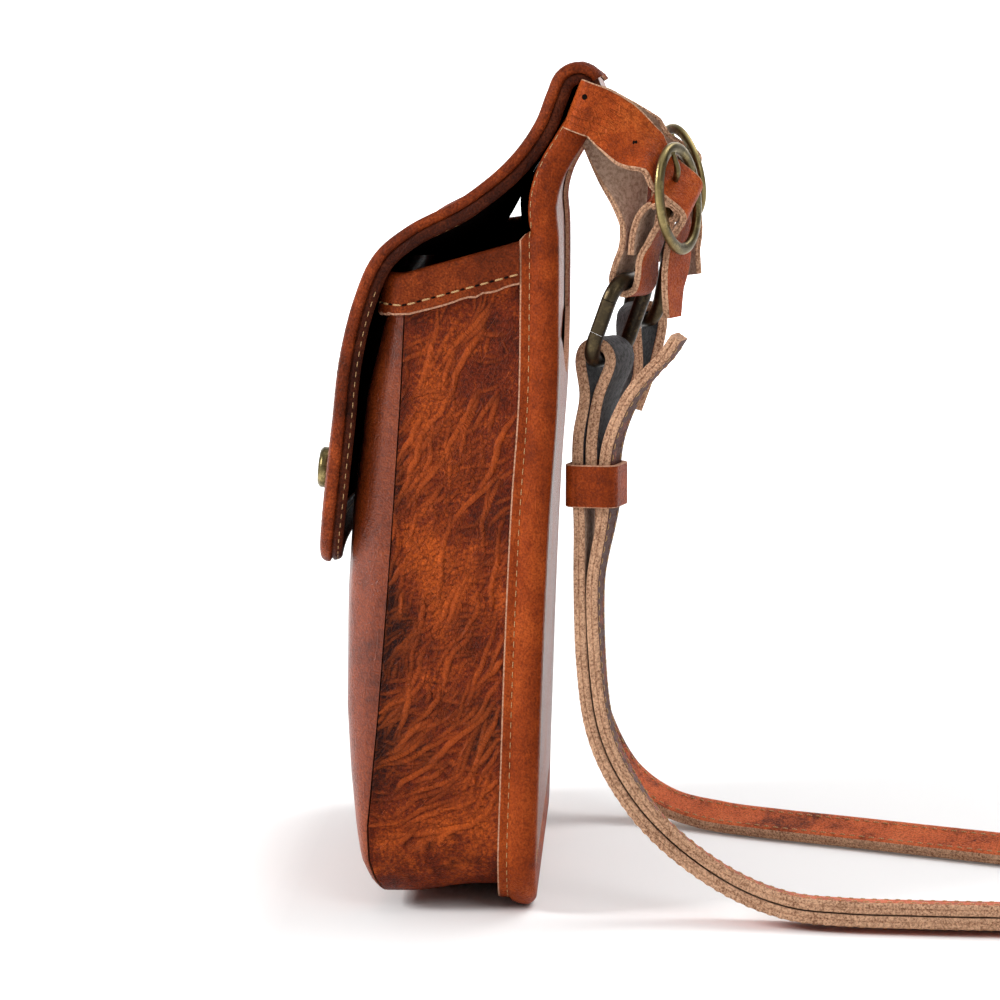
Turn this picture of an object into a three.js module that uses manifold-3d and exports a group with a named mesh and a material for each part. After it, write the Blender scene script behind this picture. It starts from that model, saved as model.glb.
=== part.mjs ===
// Small crossbody bag in pull-up leather, standing on the floor with its shoulder strap laid out behind it.
// Millimetres, +Z up, front towards -Y, width along X. The origin is on the floor, under the bag's bottom.
// The tables count heights from the gusset's bottom edge, which the back edge holds off the floor by STAND.
// Leather pieces are walls of their real thickness, and touching pieces keep a gap of SEAM.

import * as THREE from 'three';
import Module from 'manifold-3d';
import { mergeVertices } from 'three/addons/utils/BufferGeometryUtils.js';

// Driving dimensions
const SEAM = 0.3; // air between pieces that touch
const STAND = 3.8; // height of the gusset's bottom edge above the floor
const HALF_WIDTH = 89; // outer face of the gusset
const LEATHER = 2; // gusset, front panel, back panel and flap
const BAND = 1.5; // mouth band, bindings and keeper
const POCKET_LEATHER = 1.6;
const CORNER = 18; // bottom corners of the gusset, seen from the front
const PANEL_MARGIN = 1.6; // how far the back panel stands out past the gusset
const PANEL_WAIST = 3; // how much narrower the panel is at the curl on top
const FLAP_CORNER = 20;
const FLAP_BULGE = 7; // how far the flap's middle stands in front of its side edges
const FRONT_BULGE = 4.5;
const MOUTH_BACK = 193.5; // height of the gusset's top edge at the back
const MOUTH_FRONT = 182; // the same at the front
const BAND_DROP = 13;
const CONNECTOR_WIDTH = 16.5;
const CONNECTOR_LOOP_WIDTH = 13; // where it passes through the hook and round the buckle's bar
const CONNECTOR = 2;
const STRAP_WIDTH = 14;
const STRAP = 3.4;
const HARDWARE_TURN = 24; // degrees that hook and buckle are turned away from the X axis
const HOOK_HALF_WIDTH = 12.2;
const HOOK_HALF_LENGTH = 12.5;
const HOOK_CORNER = 6.5;
const HOOK_BAR = 2.2; // radius
const HOOK_TILT = 21; // degrees, lower end towards the bag
const BUCKLE_HALF_WIDTH = 12.5;
const BUCKLE_HALF_LENGTH = 15.8;
const BUCKLE_TURN = 38; // degrees in its own plane
const BUCKLE_BAR = 1.4;
const FAR_SWING = 9; // degrees that the far connector hangs further back than the near one
const STUD_RADIUS = 6.5;
const STUD_HEIGHT = 120;

// Side profile of the back panel and flap, from the bottom edge round to the flap's tip
const PANEL_PROFILE = [
  { y: 20.8, z: -1.6 }, { y: 20.9, z: 14 }, { y: 21.6, z: 36 }, { y: 22.9, z: 76 }, { y: 24.8, z: 117 },
  { y: 26.9, z: 147 }, { y: 27.4, z: 172 }, { y: 27.4, z: 196 }, { y: 26.9, z: 206 }, { y: 29, z: 214.5 },
  { y: 33.4, z: 222.5 }, { y: 38.6, z: 231.2 }, { y: 41.6, z: 238.4 }, { y: 40, z: 242.8 },
  { y: 35.6, z: 244.5 }, { y: 31.6, z: 242.6 }, { y: 29, z: 237 }, { y: 25.6, z: 228.5 },
  { y: 17.4, z: 217.2 }, { y: 3.4, z: 205.8 }, { y: -12.4, z: 197.4 }, { y: -21, z: 190 },
  { y: -26.6, z: 177.5 }, { y: -30.7, z: 160.5 }, { y: -32.9, z: 140.5 }, { y: -35.2, z: 120 },
  { y: -36.9, z: 101.2 },
];
// How far the flap's middle sags where it crosses the mouth, by the length from the fold
const FLAP_SAG = [
  { length: 0, sag: 2 }, { length: 20, sag: 2 }, { length: 34, sag: 3 }, { length: 42, sag: 6.5 },
  { length: 52, sag: 11 }, { length: 62, sag: 9.5 }, { length: 74, sag: 4 }, { length: 84, sag: 0 },
];
// How far the middle of the back leans into the bag, by height
const BACK_LEAN = [
  { z: 170, lean: 0 }, { z: 185, lean: 5 }, { z: 197, lean: 9.5 }, { z: 206, lean: 9.5 }, { z: 214, lean: 7 },
  { z: 224, lean: 3 }, { z: 232, lean: 0 },
];
const FREE_EDGE_FROM = 222.5; // heights on the back between which the panel's side edge has no binding
const FREE_EDGE_TO = 238.4;

// Front edge of the gusset, where the front panel is sewn on, and how far the panel stands in front of it
const FRONT_SEAM = [
  { z: 0, y: -20.5, depth: 9 }, { z: 6, y: -23.6, depth: 9 }, { z: 12, y: -25.4, depth: 8 },
  { z: 22, y: -25.9, depth: 7 }, { z: 38, y: -24.4, depth: 8 }, { z: 57, y: -22.6, depth: 9.4 },
  { z: 88, y: -20.1, depth: 10.5 }, { z: 117, y: -18, depth: 10.8 }, { z: 150, y: -15.8, depth: 9.2 },
  { z: 173, y: -14.6, depth: 4.7 }, { z: 200, y: -14, depth: 2.4 },
];
// Columns of the gusset from front to back: how much of the bottom's sag to the floor each one takes, and how
// much higher its mouth stands on the far side
const GUSSET_DEPTH = [
  { share: 0, sag: 0, rise: 0 }, { share: 0.14, sag: 1, rise: 1.6 }, { share: 0.53, sag: 1, rise: 6.3 },
  { share: 0.57, sag: 1, rise: 6.2 }, { share: 0.7, sag: 0, rise: 5.5 }, { share: 1, sag: 0, rise: 4 },
];
const SAG_HALF = 50; // half the width over which the bottom lies on the floor

const wasm = await Module();
wasm.setup();
const radians = THREE.MathUtils.degToRad;
const X_AXIS = new THREE.Vector3(1, 0, 0);
const Z_AXIS = new THREE.Vector3(0, 0, 1);
const vector = (x, y, z) => new THREE.Vector3(x, y, z);

/** Straight interpolation of one column of a table whose rows rise along the key column. */
function lookUp(table, key, column, at) {
  const last = table.length - 1;
  if (at <= table[0][key]) return table[0][column];
  if (at >= table[last][key]) return table[last][column];
  const next = table.findIndex((row) => row[key] >= at);
  const low = table[next - 1];
  const high = table[next];
  return THREE.MathUtils.mapLinear(at, low[key], high[key], low[column], high[column]);
}

/** Closed geometry from points and triangles, turned so that its faces point out. */
function solid(points, triangles) {
  const volume = triangles.reduce((sum, [a, b, c]) => {
    return sum + points[a].dot(vector(0, 0, 0).crossVectors(points[b], points[c]));
  }, 0);
  const geometry = new THREE.BufferGeometry();
  const positions = points.flatMap((point) => point.toArray());
  geometry.setAttribute('position', new THREE.Float32BufferAttribute(positions, 3));
  geometry.setIndex(triangles.flatMap(([a, b, c]) => (volume < 0 ? [a, c, b] : [a, b, c])));
  geometry.computeVertexNormals();
  return geometry;
}

const count = (length) => Array.from({ length }, (_, k) => k);
const between = (from, to, steps) => count(steps + 1).map((k) => from + ((to - from) * k) / steps);

/** Leather wall of even thickness around a middle surface at(row, column). */
function sheet(rows, columns, at, thickness) {
  const middle = count(rows).map((i) => count(columns).map((j) => at(i, j)));
  const points = [];
  for (const side of [1, -1]) {
    for (let i = 0; i < rows; i += 1) {
      for (let j = 0; j < columns; j += 1) {
        const left = middle[i][Math.max(j - 1, 0)];
        const right = middle[i][Math.min(j + 1, columns - 1)];
        const before = middle[Math.max(i - 1, 0)][j];
        const after = middle[Math.min(i + 1, rows - 1)][j];
        const normal = right.clone().sub(left).cross(after.clone().sub(before)).normalize();
        points.push(middle[i][j].clone().addScaledVector(normal, (side * thickness) / 2));
      }
    }
  }
  const index = (side, i, j) => side * rows * columns + i * columns + j;
  const triangles = [];
  for (let i = 0; i < rows - 1; i += 1) {
    for (let j = 0; j < columns - 1; j += 1) {
      for (const side of [0, 1]) {
        const quad = [[0, 0], [0, 1], [1, 1], [1, 0]].map(([down, over]) => index(side, i + down, j + over));
        if (side) quad.reverse();
        triangles.push([quad[0], quad[1], quad[2]], [quad[0], quad[2], quad[3]]);
      }
    }
  }
  const rim = [];
  for (let j = 0; j < columns - 1; j += 1) rim.push([0, j]);
  for (let i = 0; i < rows - 1; i += 1) rim.push([i, columns - 1]);
  for (let j = columns - 1; j > 0; j -= 1) rim.push([rows - 1, j]);
  for (let i = rows - 1; i > 0; i -= 1) rim.push([i, 0]);
  rim.forEach(([i, j], k) => {
    const [nextI, nextJ] = rim[(k + 1) % rim.length];
    const [a, b] = [index(0, i, j), index(0, nextI, nextJ)];
    const [c, d] = [index(1, nextI, nextJ), index(1, i, j)];
    triangles.push([a, c, b], [a, d, c]);
  });
  return solid(points, triangles);
}

/** Section of [across, up] points carried along stations {at, across, up}; an open run gets flat ends. */
function sweep(stations, section, closed = false) {
  const corners = section.length;
  const points = stations.flatMap((station) => (station.section ?? section).map(([u, v]) => {
    const wide = station.width ?? 1;
    return station.at.clone().addScaledVector(station.across, u * wide).addScaledVector(station.up, v);
  }));
  const triangles = [];
  const runs = closed ? stations.length : stations.length - 1;
  for (let i = 0; i < runs; i += 1) {
    const here = i * corners;
    const next = ((i + 1) % stations.length) * corners;
    for (let k = 0; k < corners; k += 1) {
      const turn = (k + 1) % corners;
      triangles.push([here + k, here + turn, next + turn], [here + k, next + turn, next + k]);
    }
  }
  if (!closed) {
    const outline = section.map(([u, v]) => new THREE.Vector2(u, v));
    const reversed = THREE.ShapeUtils.area(outline) < 0;
    const last = (stations.length - 1) * corners;
    for (const corner of THREE.ShapeUtils.triangulateShape(outline, [])) {
      const [a, b, c] = reversed ? corner.reverse() : corner;
      triangles.push([a, c, b], [last + a, last + b, last + c]);
    }
  }
  return solid(points, triangles);
}

const rectangle = (width, height) => [
  [-width / 2, -height / 2], [width / 2, -height / 2], [width / 2, height / 2], [-width / 2, height / 2],
];
const round = (radius, sides) => count(sides).map((k) => {
  const angle = ((k + 0.5) / sides) * 2 * Math.PI;
  const corner = radius / Math.cos(Math.PI / sides);
  return [corner * Math.cos(angle), corner * Math.sin(angle)];
});
const smooth = (points) => new THREE.CatmullRomCurve3(points, false, 'centripetal');

/** Stations of a flat strap from rows {x, y, z, turn, dip, width}: turn and dip aim its width. */
function strapStations(rows, steps) {
  const curve = smooth(rows.map((row) => vector(row.x, row.y, row.z)));
  return between(0, 1, steps).map((t) => {
    const place = t * (rows.length - 1);
    const first = Math.min(Math.floor(place), rows.length - 2);
    const blend = (column, fallback) => {
      const [from, to] = [rows[first], rows[first + 1]].map((row) => row[column] ?? fallback);
      return THREE.MathUtils.lerp(from, to, place - first);
    };
    const turn = radians(blend('turn', 0));
    const dip = radians(blend('dip', 0));
    const along = curve.getTangent(t);
    const across = vector(Math.cos(turn) * Math.cos(dip), -Math.sin(turn) * Math.cos(dip), -Math.sin(dip));
    across.addScaledVector(along, -across.dot(along)).normalize();
    const up = vector(0, 0, 0).crossVectors(along, across);
    return { at: curve.getPoint(t), across, up, width: blend('width', 1) };
  });
}

/** Manifold of a geometry whose vertices are shared, and back. */
function toManifold(geometry) {
  const vertProperties = new Float32Array(geometry.attributes.position.array);
  const triVerts = new Uint32Array(geometry.index.array);
  return new wasm.Manifold(new wasm.Mesh({ numProp: 3, vertProperties, triVerts }));
}
function fromManifold(manifold) {
  const mesh = manifold.getMesh();
  const geometry = new THREE.BufferGeometry();
  geometry.setAttribute('position', new THREE.BufferAttribute(new Float32Array(mesh.vertProperties), 3));
  geometry.setIndex(Array.from(mesh.triVerts));
  geometry.computeVertexNormals();
  return geometry;
}

const bag = new THREE.Group();
const COLOURS = {
  leather: { color: 0x8a3a18, roughness: 0.5, metalness: 0 },
  binding: { color: 0xa34a20, roughness: 0.45, metalness: 0 },
  strap: { color: 0x9a5a38, roughness: 0.6, metalness: 0 },
  brass: { color: 0x7a6a3a, roughness: 0.35, metalness: 1 },
  bronze: { color: 0x2b2620, roughness: 0.4, metalness: 1 },
};
function add(name, geometry, colour) {
  const mesh = new THREE.Mesh(geometry, new THREE.MeshStandardMaterial(COLOURS[colour]));
  mesh.name = name;
  mesh.geometry.translate(0, 0, STAND);
  bag.add(mesh);
}

// Back panel and flap
const profile = smooth(PANEL_PROFILE.map((row) => vector(0, row.y, row.z)));
profile.arcLengthDivisions = 2000;
const PANEL_LENGTH = profile.getLength();
const PROFILE_STEPS = 1200;
const profileSamples = between(0, 1, PROFILE_STEPS).map((share) => profile.getPointAt(share));
const foldHeight = Math.max(...profileSamples.map((point) => point.z));
const foldStep = profileSamples.findIndex((point) => point.z === foldHeight);

/** Length along the back of the profile at which it reaches a height. */
function backLength(height) {
  const step = profileSamples.findIndex((point) => point.z >= height);
  return (step / PROFILE_STEPS) * PANEL_LENGTH;
}
const backY = (height) => profile.getPointAt(backLength(height) / PANEL_LENGTH).y;

/** Point of the panel's middle surface: length along the profile, and x across it. */
function panelPoint(length, x) {
  const share = THREE.MathUtils.clamp(length / PANEL_LENGTH, 0, 1);
  const { y, z } = profile.getPointAt(share);
  const spread = 1 - (x / PANEL_HALF) ** 2;
  const fromFold = length - (foldStep / PROFILE_STEPS) * PANEL_LENGTH;
  if (fromFold <= 0) return vector(x, y - lookUp(BACK_LEAN, 'z', 'lean', z) * spread ** 3, z);
  const low = THREE.MathUtils.smoothstep(z, 84, 120) * (1 - THREE.MathUtils.smoothstep(z, 130, 215));
  const along = profile.getTangentAt(share);
  const sag = lookUp(FLAP_SAG, 'length', 'sag', fromFold) * spread;
  return vector(x, y - FLAP_BULGE * low * spread - along.z * sag, z + along.y * sag);
}
const PANEL_HALF = HALF_WIDTH + PANEL_MARGIN;
const PANEL_CORNER = CORNER + PANEL_MARGIN;
const sideHalf = (length) => {
  const { z } = profile.getPointAt(THREE.MathUtils.clamp(length / PANEL_LENGTH, 0, 1));
  return PANEL_HALF - PANEL_WAIST * THREE.MathUtils.smoothstep(z, 208, 228);
};

/** Half width of the panel: rounded at the bottom corners and at the flap's corners. */
function panelHalf(length) {
  const fromEnd = (distance, radius) => radius - Math.sqrt(radius ** 2 - Math.max(radius - distance, 0) ** 2);
  return sideHalf(length) - fromEnd(length, PANEL_CORNER) - fromEnd(PANEL_LENGTH - length, FLAP_CORNER);
}

const CORNER_STEPS = 6;
const cornerShares = between(0, Math.PI / 2, CORNER_STEPS).map((angle) => 1 - Math.cos(angle));
const bareFrom = backLength(FREE_EDGE_FROM);
const bareTo = backLength(FREE_EDGE_TO);
const flapTop = bareTo + 32; // length at which the tight curl at the top is over
const backLengths = [
  ...cornerShares.map((share) => PANEL_CORNER * share),
  ...between(PANEL_CORNER, backLength(196), 7).slice(1),
  ...between(backLength(196), bareFrom, 5).slice(1),
];
const flapLengths = [
  ...between(bareTo, flapTop, 9),
  ...between(flapTop, PANEL_LENGTH - FLAP_CORNER, 8).slice(1),
];
const flapCornerLengths = cornerShares.map((share) => PANEL_LENGTH - FLAP_CORNER * share).reverse();
const panelLengths = [
  ...backLengths, ...between(bareFrom, bareTo, 4).slice(1, -1), ...flapLengths, ...flapCornerLengths.slice(1),
];
const PANEL_SHARES = [-1, -0.9, -0.48, 0, 0.48, 0.9, 1];
const panelSheet = sheet(panelLengths.length, PANEL_SHARES.length, (i, j) => {
  return panelPoint(panelLengths[i], PANEL_SHARES[j] * panelHalf(panelLengths[i]));
}, LEATHER);

/** Frame on the panel's edge: out of the panel, turned by an angle from side to end, and its normal. */
function edgeStation(length, x, angle, side, end) {
  const step = 0.5;
  const before = panelPoint(Math.max(length - step, 0), x);
  const along = panelPoint(Math.min(length + step, PANEL_LENGTH), x).sub(before).normalize();
  const wide = panelPoint(length, x + step).sub(panelPoint(length, x - step)).normalize();
  const up = vector(0, 0, 0).crossVectors(along, wide).normalize();
  const across = wide.multiplyScalar(side * Math.cos(angle)).addScaledVector(along, end * Math.sin(angle));
  return { at: panelPoint(length, x), across, up };
}

/** Edge of one end of the panel: down one side, round both corners and up the other side. */
function edgeStations(sideLengths, endLength, corner, end, endSteps) {
  const onSide = (side) => sideLengths.map((length) => {
    return edgeStation(length, side * sideHalf(length), 0, side, end);
  });
  const onCorner = (side) => between(0, Math.PI / 2, CORNER_STEPS).map((angle) => {
    const length = endLength - end * corner * (1 - Math.sin(angle));
    return edgeStation(length, side * (PANEL_HALF - corner * (1 - Math.cos(angle))), angle, side, end);
  });
  const reach = PANEL_HALF - corner;
  const onEnd = between(reach, -reach, endSteps).slice(1, -1).map((x) => {
    return edgeStation(endLength, x, Math.PI / 2, 1, end);
  });
  return [
    ...onSide(1).slice(0, -1), ...onCorner(1), ...onEnd, ...onCorner(-1).reverse(),
    ...onSide(-1).reverse().slice(1),
  ];
}

const grip = LEATHER / 2 + SEAM; // from the middle of the panel to the binding's inner face
const flapGrip = grip + 0.3; // the flap is bent in two directions, so its binding sits looser
const FLAP_BINDING = [
  [-7, flapGrip], [SEAM, flapGrip], [SEAM, -flapGrip], [-7, -flapGrip], [-7, -grip - BAND], [1, -grip - BAND],
  [SEAM + BAND, -grip - 0.4], [SEAM + BAND, grip + 0.4], [1, grip + BAND], [-7, grip + BAND],
];
// The back binding reaches round the panel's edge and forward on to the gusset, with a swelling over the seam
const onGusset = SEAM - PANEL_MARGIN;
const BACK_LEG = 8.4; // from the middle of the panel to the raw edge on the gusset
const BACK_BINDING = [
  [onGusset, -BACK_LEG], [onGusset, -5.6], [0.4, -4], [0.6, grip], [-7.6, grip], [-7.6, grip + BAND],
  [0.3, grip + BAND], [2, 1], [2.2, -0.8], [1.8, -3], [onGusset + BAND, -5.2], [onGusset + BAND, -BACK_LEG],
];
// Above the mouth there is no gusset, and it is a thicker roll round the panel's edge
const UPPER_BINDING = [
  [-6, -grip], [-1, -grip], [0.5, -grip], [0.6, grip], [-7.6, grip], [-7.6, grip + BAND], [0.3, grip + BAND],
  [1.9, 0.8], [1.9, -2.8], [0.9, -5.1], [-1.4, -5], [-6, -grip - 1.2],
];
const backSide = backLengths.slice(CORNER_STEPS).reverse();
const backEdge = edgeStations(backSide, 0, PANEL_CORNER, -1, 4);
for (const station of backEdge) {
  if (station.up.y < 0) station.up.negate();
  const mouth = MOUTH_BACK + (station.at.x < 0 ? GUSSET_DEPTH.at(-1).rise : 0);
  const above = THREE.MathUtils.smoothstep(station.at.z, mouth + 3, mouth + 7);
  station.section = BACK_BINDING.map(([u, v], k) => [
    THREE.MathUtils.lerp(u, UPPER_BINDING[k][0], above), THREE.MathUtils.lerp(v, UPPER_BINDING[k][1], above),
  ]);
}
add('back_binding', sweep(backEdge, BACK_BINDING), 'binding');
const flapEdge = edgeStations(flapLengths.slice(1), PANEL_LENGTH, FLAP_CORNER, 1, 8);
add('flap_binding', sweep(flapEdge, FLAP_BINDING), 'binding');

// Gusset: near side, bottom and far side in one band
const middleHalf = HALF_WIDTH - LEATHER / 2;
const middleCorner = CORNER - LEATHER / 2;
const seamY = (height) => lookUp(FRONT_SEAM, 'z', 'y', height);
const mouthStart = seamY(MOUTH_FRONT) + SEAM / 2;
const mouthEnd = backY(MOUTH_BACK) - LEATHER / 2 - SEAM - 0.1;
const mouthHeight = (y, side) => {
  const share = THREE.MathUtils.inverseLerp(mouthStart, mouthEnd, y);
  const rise = side < 0 ? lookUp(GUSSET_DEPTH, 'share', 'rise', share) : 0;
  return THREE.MathUtils.mapLinear(y, seamY(MOUTH_FRONT), backY(MOUTH_BACK), MOUTH_FRONT, MOUTH_BACK) + rise;
};
const GUSSET_SIDE_SHARES = [1, 0.88, 0.74, 0.6, 0.46, 0.32, 0.2, 0.1, 0];
const gussetHalf = [
  ...GUSSET_SIDE_SHARES.map((share) => ({ share, angle: 0, sunk: 0 })),
  ...between(0, 90, CORNER_STEPS).slice(1).map((angle) => ({ share: 0, angle, sunk: 0 })),
  { share: 0, angle: 90, x: SAG_HALF, sunk: 1 },
];
const gussetRows = [
  ...gussetHalf.map((row) => ({ ...row, side: 1 })),
  ...gussetHalf.map((row) => ({ ...row, side: -1 })).reverse(),
];
function gussetPoint(row, column) {
  const { side, share, angle, sunk, x } = gussetRows[row];
  const { share: depth, sag } = GUSSET_DEPTH[column];
  const turn = radians(angle);
  const wide = x ?? middleHalf - middleCorner * (1 - Math.cos(turn));
  const foot = LEATHER / 2 - STAND * sag * sunk + middleCorner * (1 - Math.sin(turn));
  const front = seamY(foot + share * (MOUTH_FRONT - foot));
  const guess = THREE.MathUtils.lerp(front, backY(foot + share * (MOUTH_BACK - foot)), depth);
  const z = foot + share * (mouthHeight(guess, side) - foot);
  const back = backY(Math.max(z, PANEL_PROFILE[0].z)) - LEATHER / 2 - SEAM - 0.1;
  const y = THREE.MathUtils.lerp(seamY(z) + SEAM / 2, back, depth);
  return vector(side * wide, y, z);
}
add('gusset', sheet(gussetRows.length, GUSSET_DEPTH.length, gussetPoint, LEATHER), 'leather');

// Front panel: a bulged tray whose rim turns back to the gusset's front edge
const FRONT_GAP = 0.75; // from the seam to the turned edge
const FRONT_ROLL = 10; // radius of the turned edge at the sides, seen from the front
const FOOT_ROLL = 15; // the same at the bottom
const rollAngles = [0, 22.5, 45, 67.5, 90];
const frontHalf = [
  ...rollAngles.map(radians).map((angle) => ({
    inset: FRONT_ROLL * (1 - Math.cos(angle)), swell: Math.sin(angle), share: 1,
  })),
  ...[0.72, 0.4, 0].map((share) => ({ inset: FRONT_ROLL, swell: 1, share })),
];
const frontSides = [
  ...frontHalf.map((column) => ({ ...column, side: 1 })),
  ...frontHalf.slice(0, -1).map((column) => ({ ...column, side: -1 })).reverse(),
];
const frontRows = [
  ...[0, 18, 36, 54, 72, 90].map((angle) => ({
    z: LEATHER / 2 + FOOT_ROLL * (1 - Math.cos(radians(angle))), swell: Math.sin(radians(angle)),
  })),
  ...between(LEATHER / 2 + FOOT_ROLL, MOUTH_FRONT, 7).slice(1).map((z) => ({ z, swell: 1 })),
];
function frontPoint(row, column) {
  const { z, swell } = frontRows[row];
  const { inset, swell: roll, share, side } = frontSides[column];
  const rise = Math.max(middleCorner - (z - LEATHER / 2), 0);
  const half = middleHalf - middleCorner + Math.sqrt(middleCorner ** 2 - rise ** 2);
  const belly = FRONT_BULGE * Math.sin(Math.PI * THREE.MathUtils.clamp(z / 195, 0, 1));
  const depth = lookUp(FRONT_SEAM, 'z', 'depth', z) * roll * swell + belly * (1 - share ** 2) * swell;
  return vector(side * share * (half - inset), seamY(z) - FRONT_GAP - depth, z);
}
add('front_panel', sheet(frontRows.length, frontSides.length, frontPoint, LEATHER), 'leather');

// Mouth band, folded over the top edges of gusset and front panel
const hold = grip + 0.15; // from the middle of the leather to the band's inner face
const MOUTH_BAND = [
  [hold, -BAND_DROP], [hold, SEAM], [-hold, SEAM], [-hold, -8],
  [-hold - BAND, -8], [-hold - BAND, SEAM + 0.7],
  [-hold, SEAM + BAND], [hold, SEAM + BAND], [hold + BAND, SEAM + 0.7], [hold + BAND, -BAND_DROP],
];
const bandEnd = backY(MOUTH_BACK) - BACK_LEG - 0.6;
const bandStops = [0.7, 0.57, 0.53, 0.14].map((share) => THREE.MathUtils.lerp(mouthStart, mouthEnd, share));
const onSide = (side, stops) => [bandEnd, ...stops, seamY(MOUTH_FRONT) + 2].map((y) => {
  const at = vector(side * middleHalf, y, mouthHeight(y, side));
  return { at, below: at.clone().setZ(at.z - BAND_DROP) };
});
const topRow = frontRows.length - 1;
const onFront = frontSides.map((_, k) => ({ at: frontPoint(topRow, k), below: frontPoint(topRow - 1, k) }));
const bandPath = [...onSide(1, []), ...onFront, ...onSide(-1, bandStops).reverse()];
const bandStations = bandPath.map(({ at, below }, k) => {
  const next = bandPath[Math.min(k + 1, bandPath.length - 1)].at;
  const along = next.clone().sub(bandPath[Math.max(k - 1, 0)].at);
  const up = at.clone().sub(below).normalize();
  const across = vector(0, 0, 0).crossVectors(up, along.setZ(0).normalize()).normalize();
  return { at, across, up };
});
const outward = Math.sign(bandStations[0].across.x);
for (const station of bandStations) station.across.multiplyScalar(outward);
add('mouth_band', sweep(bandStations, MOUTH_BAND), 'binding');

// Slip pocket on the back, with a scooped mouth
const POCKET_HALF = PANEL_HALF - 7.6 - 0.6;
const POCKET_FOOT = 12;
const POCKET_CORNER = 14;
const POCKET_TOP = 167;
const POCKET_SCOOP = 16;
const pocketShares = [-1, -0.75, -0.5, -0.25, 0, 0.25, 0.5, 0.75, 1];
const pocketRise = [0, 0.012, 0.04, 0.1, 0.3, 0.55, 0.8, 1];
add('back_pocket', sheet(pocketRise.length, pocketShares.length, (i, j) => {
  const share = pocketShares[j];
  const top = POCKET_TOP - POCKET_SCOOP * Math.cos((share * Math.PI) / 2) ** 2;
  const z = THREE.MathUtils.lerp(POCKET_FOOT, top, pocketRise[i]);
  const rise = Math.max(POCKET_CORNER - (z - POCKET_FOOT), 0);
  const half = POCKET_HALF - POCKET_CORNER + Math.sqrt(POCKET_CORNER ** 2 - rise ** 2);
  const slack = 0.9 * (1 - share ** 2) * Math.sin((Math.PI * pocketRise[i]) / 1.6);
  return vector(share * half, backY(z) + LEATHER / 2 + SEAM + 0.15 + POCKET_LEATHER / 2 + slack, z);
}, POCKET_LEATHER), 'leather');

// Lock stud on the flap, its post through the leather and a plain washer behind
const stepsBelowStud = profileSamples.slice(foldStep).filter((point) => point.z < STUD_HEIGHT).length;
const studLength = PANEL_LENGTH * (1 - stepsBelowStud / PROFILE_STEPS);
const studFrame = edgeStation(studLength, 0, 0, 1, 1);
const face = LEATHER / 2 + SEAM + 0.3;
const STUD_POST = 2.4;
const studOutline = [
  [0, -face - 1.3], [4.2, -face - 1.3], [4.2, -face], [STUD_POST, -face], [STUD_POST, face],
  [STUD_RADIUS - 0.8, face], [STUD_RADIUS, face + 0.9], [STUD_RADIUS, face + 2.9],
  [STUD_RADIUS - 1, face + 3.9], [0, face + 4.3],
];
const studSolid = new THREE.LatheGeometry(studOutline.map(([r, h]) => new THREE.Vector2(r, h)), 14);
if (studFrame.up.y > 0) studFrame.up.negate();
const studTurn = new THREE.Quaternion().setFromUnitVectors(vector(0, 1, 0), studFrame.up);
studSolid.applyQuaternion(studTurn);
studSolid.translate(studFrame.at.x, studFrame.at.y, studFrame.at.z);
const studHole = new THREE.CylinderGeometry(STUD_POST + SEAM, STUD_POST + SEAM, 12, 14);
studHole.applyQuaternion(studTurn);
studHole.translate(studFrame.at.x, studFrame.at.y, studFrame.at.z);

/** Geometry with its shared vertices merged, so that only positions are left. */
function shared(geometry) {
  geometry.deleteAttribute('normal');
  geometry.deleteAttribute('uv');
  return mergeVertices(geometry, 1e-4);
}
add('lock_stud', shared(studSolid), 'brass');

// Connector hardware: a frame of its own, turned a little away from the X axis
const HANG = vector(80, 48, 0);
const wide = vector(Math.cos(radians(HARDWARE_TURN)), -Math.sin(radians(HARDWARE_TURN)), 0);
const deep = vector(Math.sin(radians(HARDWARE_TURN)), Math.cos(radians(HARDWARE_TURN)), 0);
/** Point from a start and steps along three directions. */
const stepped = (start, ...steps) => {
  return steps.reduce((point, [axis, by]) => point.addScaledVector(axis, by), start.clone());
};
const hang = (s, z, v = 0) => stepped(HANG, [deep, s], [wide, v], [Z_AXIS, z]);
const SLIT = vector(80, 37.9, 230.1); // middle of the slit in the back panel
const slope = radians(34); // the panel's lean at the slit
const slitAlong = vector(0, Math.sin(slope), Math.cos(slope));
const slitOut = vector(0, Math.cos(slope), -Math.sin(slope));

const HOOK_TOP = { s: 4.25, z: 184 }; // where the connector holds the hook
const tilt = radians(HOOK_TILT);
const hookUp = deep.clone().multiplyScalar(Math.sin(tilt)).addScaledVector(Z_AXIS, Math.cos(tilt));
const hookCentre = hang(HOOK_TOP.s, HOOK_TOP.z).addScaledVector(hookUp, -HOOK_HALF_LENGTH);
const hookFace = vector(0, 0, 0).crossVectors(wide, hookUp);
const hookPoint = (v, l) => stepped(hookCentre, [wide, v], [hookUp, l]);

const BUCKLE = { s: 18.5, z: 207.7 };
const buckleCentre = hang(BUCKLE.s, BUCKLE.z);
const twist = radians(BUCKLE_TURN);
const buckleUp = wide.clone().multiplyScalar(Math.sin(twist)).addScaledVector(Z_AXIS, Math.cos(twist));
const buckleWide = wide.clone().multiplyScalar(Math.cos(twist)).addScaledVector(Z_AXIS, -Math.sin(twist));
const buckle = (c, n, v = 0) => stepped(buckleCentre, [buckleUp, c], [deep, n], [buckleWide, v]);

/** The far side is the near one mirrored, and swung back about its slit. */
function farSide(point) {
  const turned = point.clone().sub(SLIT).applyAxisAngle(X_AXIS, radians(FAR_SWING)).add(SLIT);
  turned.x = -turned.x;
  return turned;
}
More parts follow.
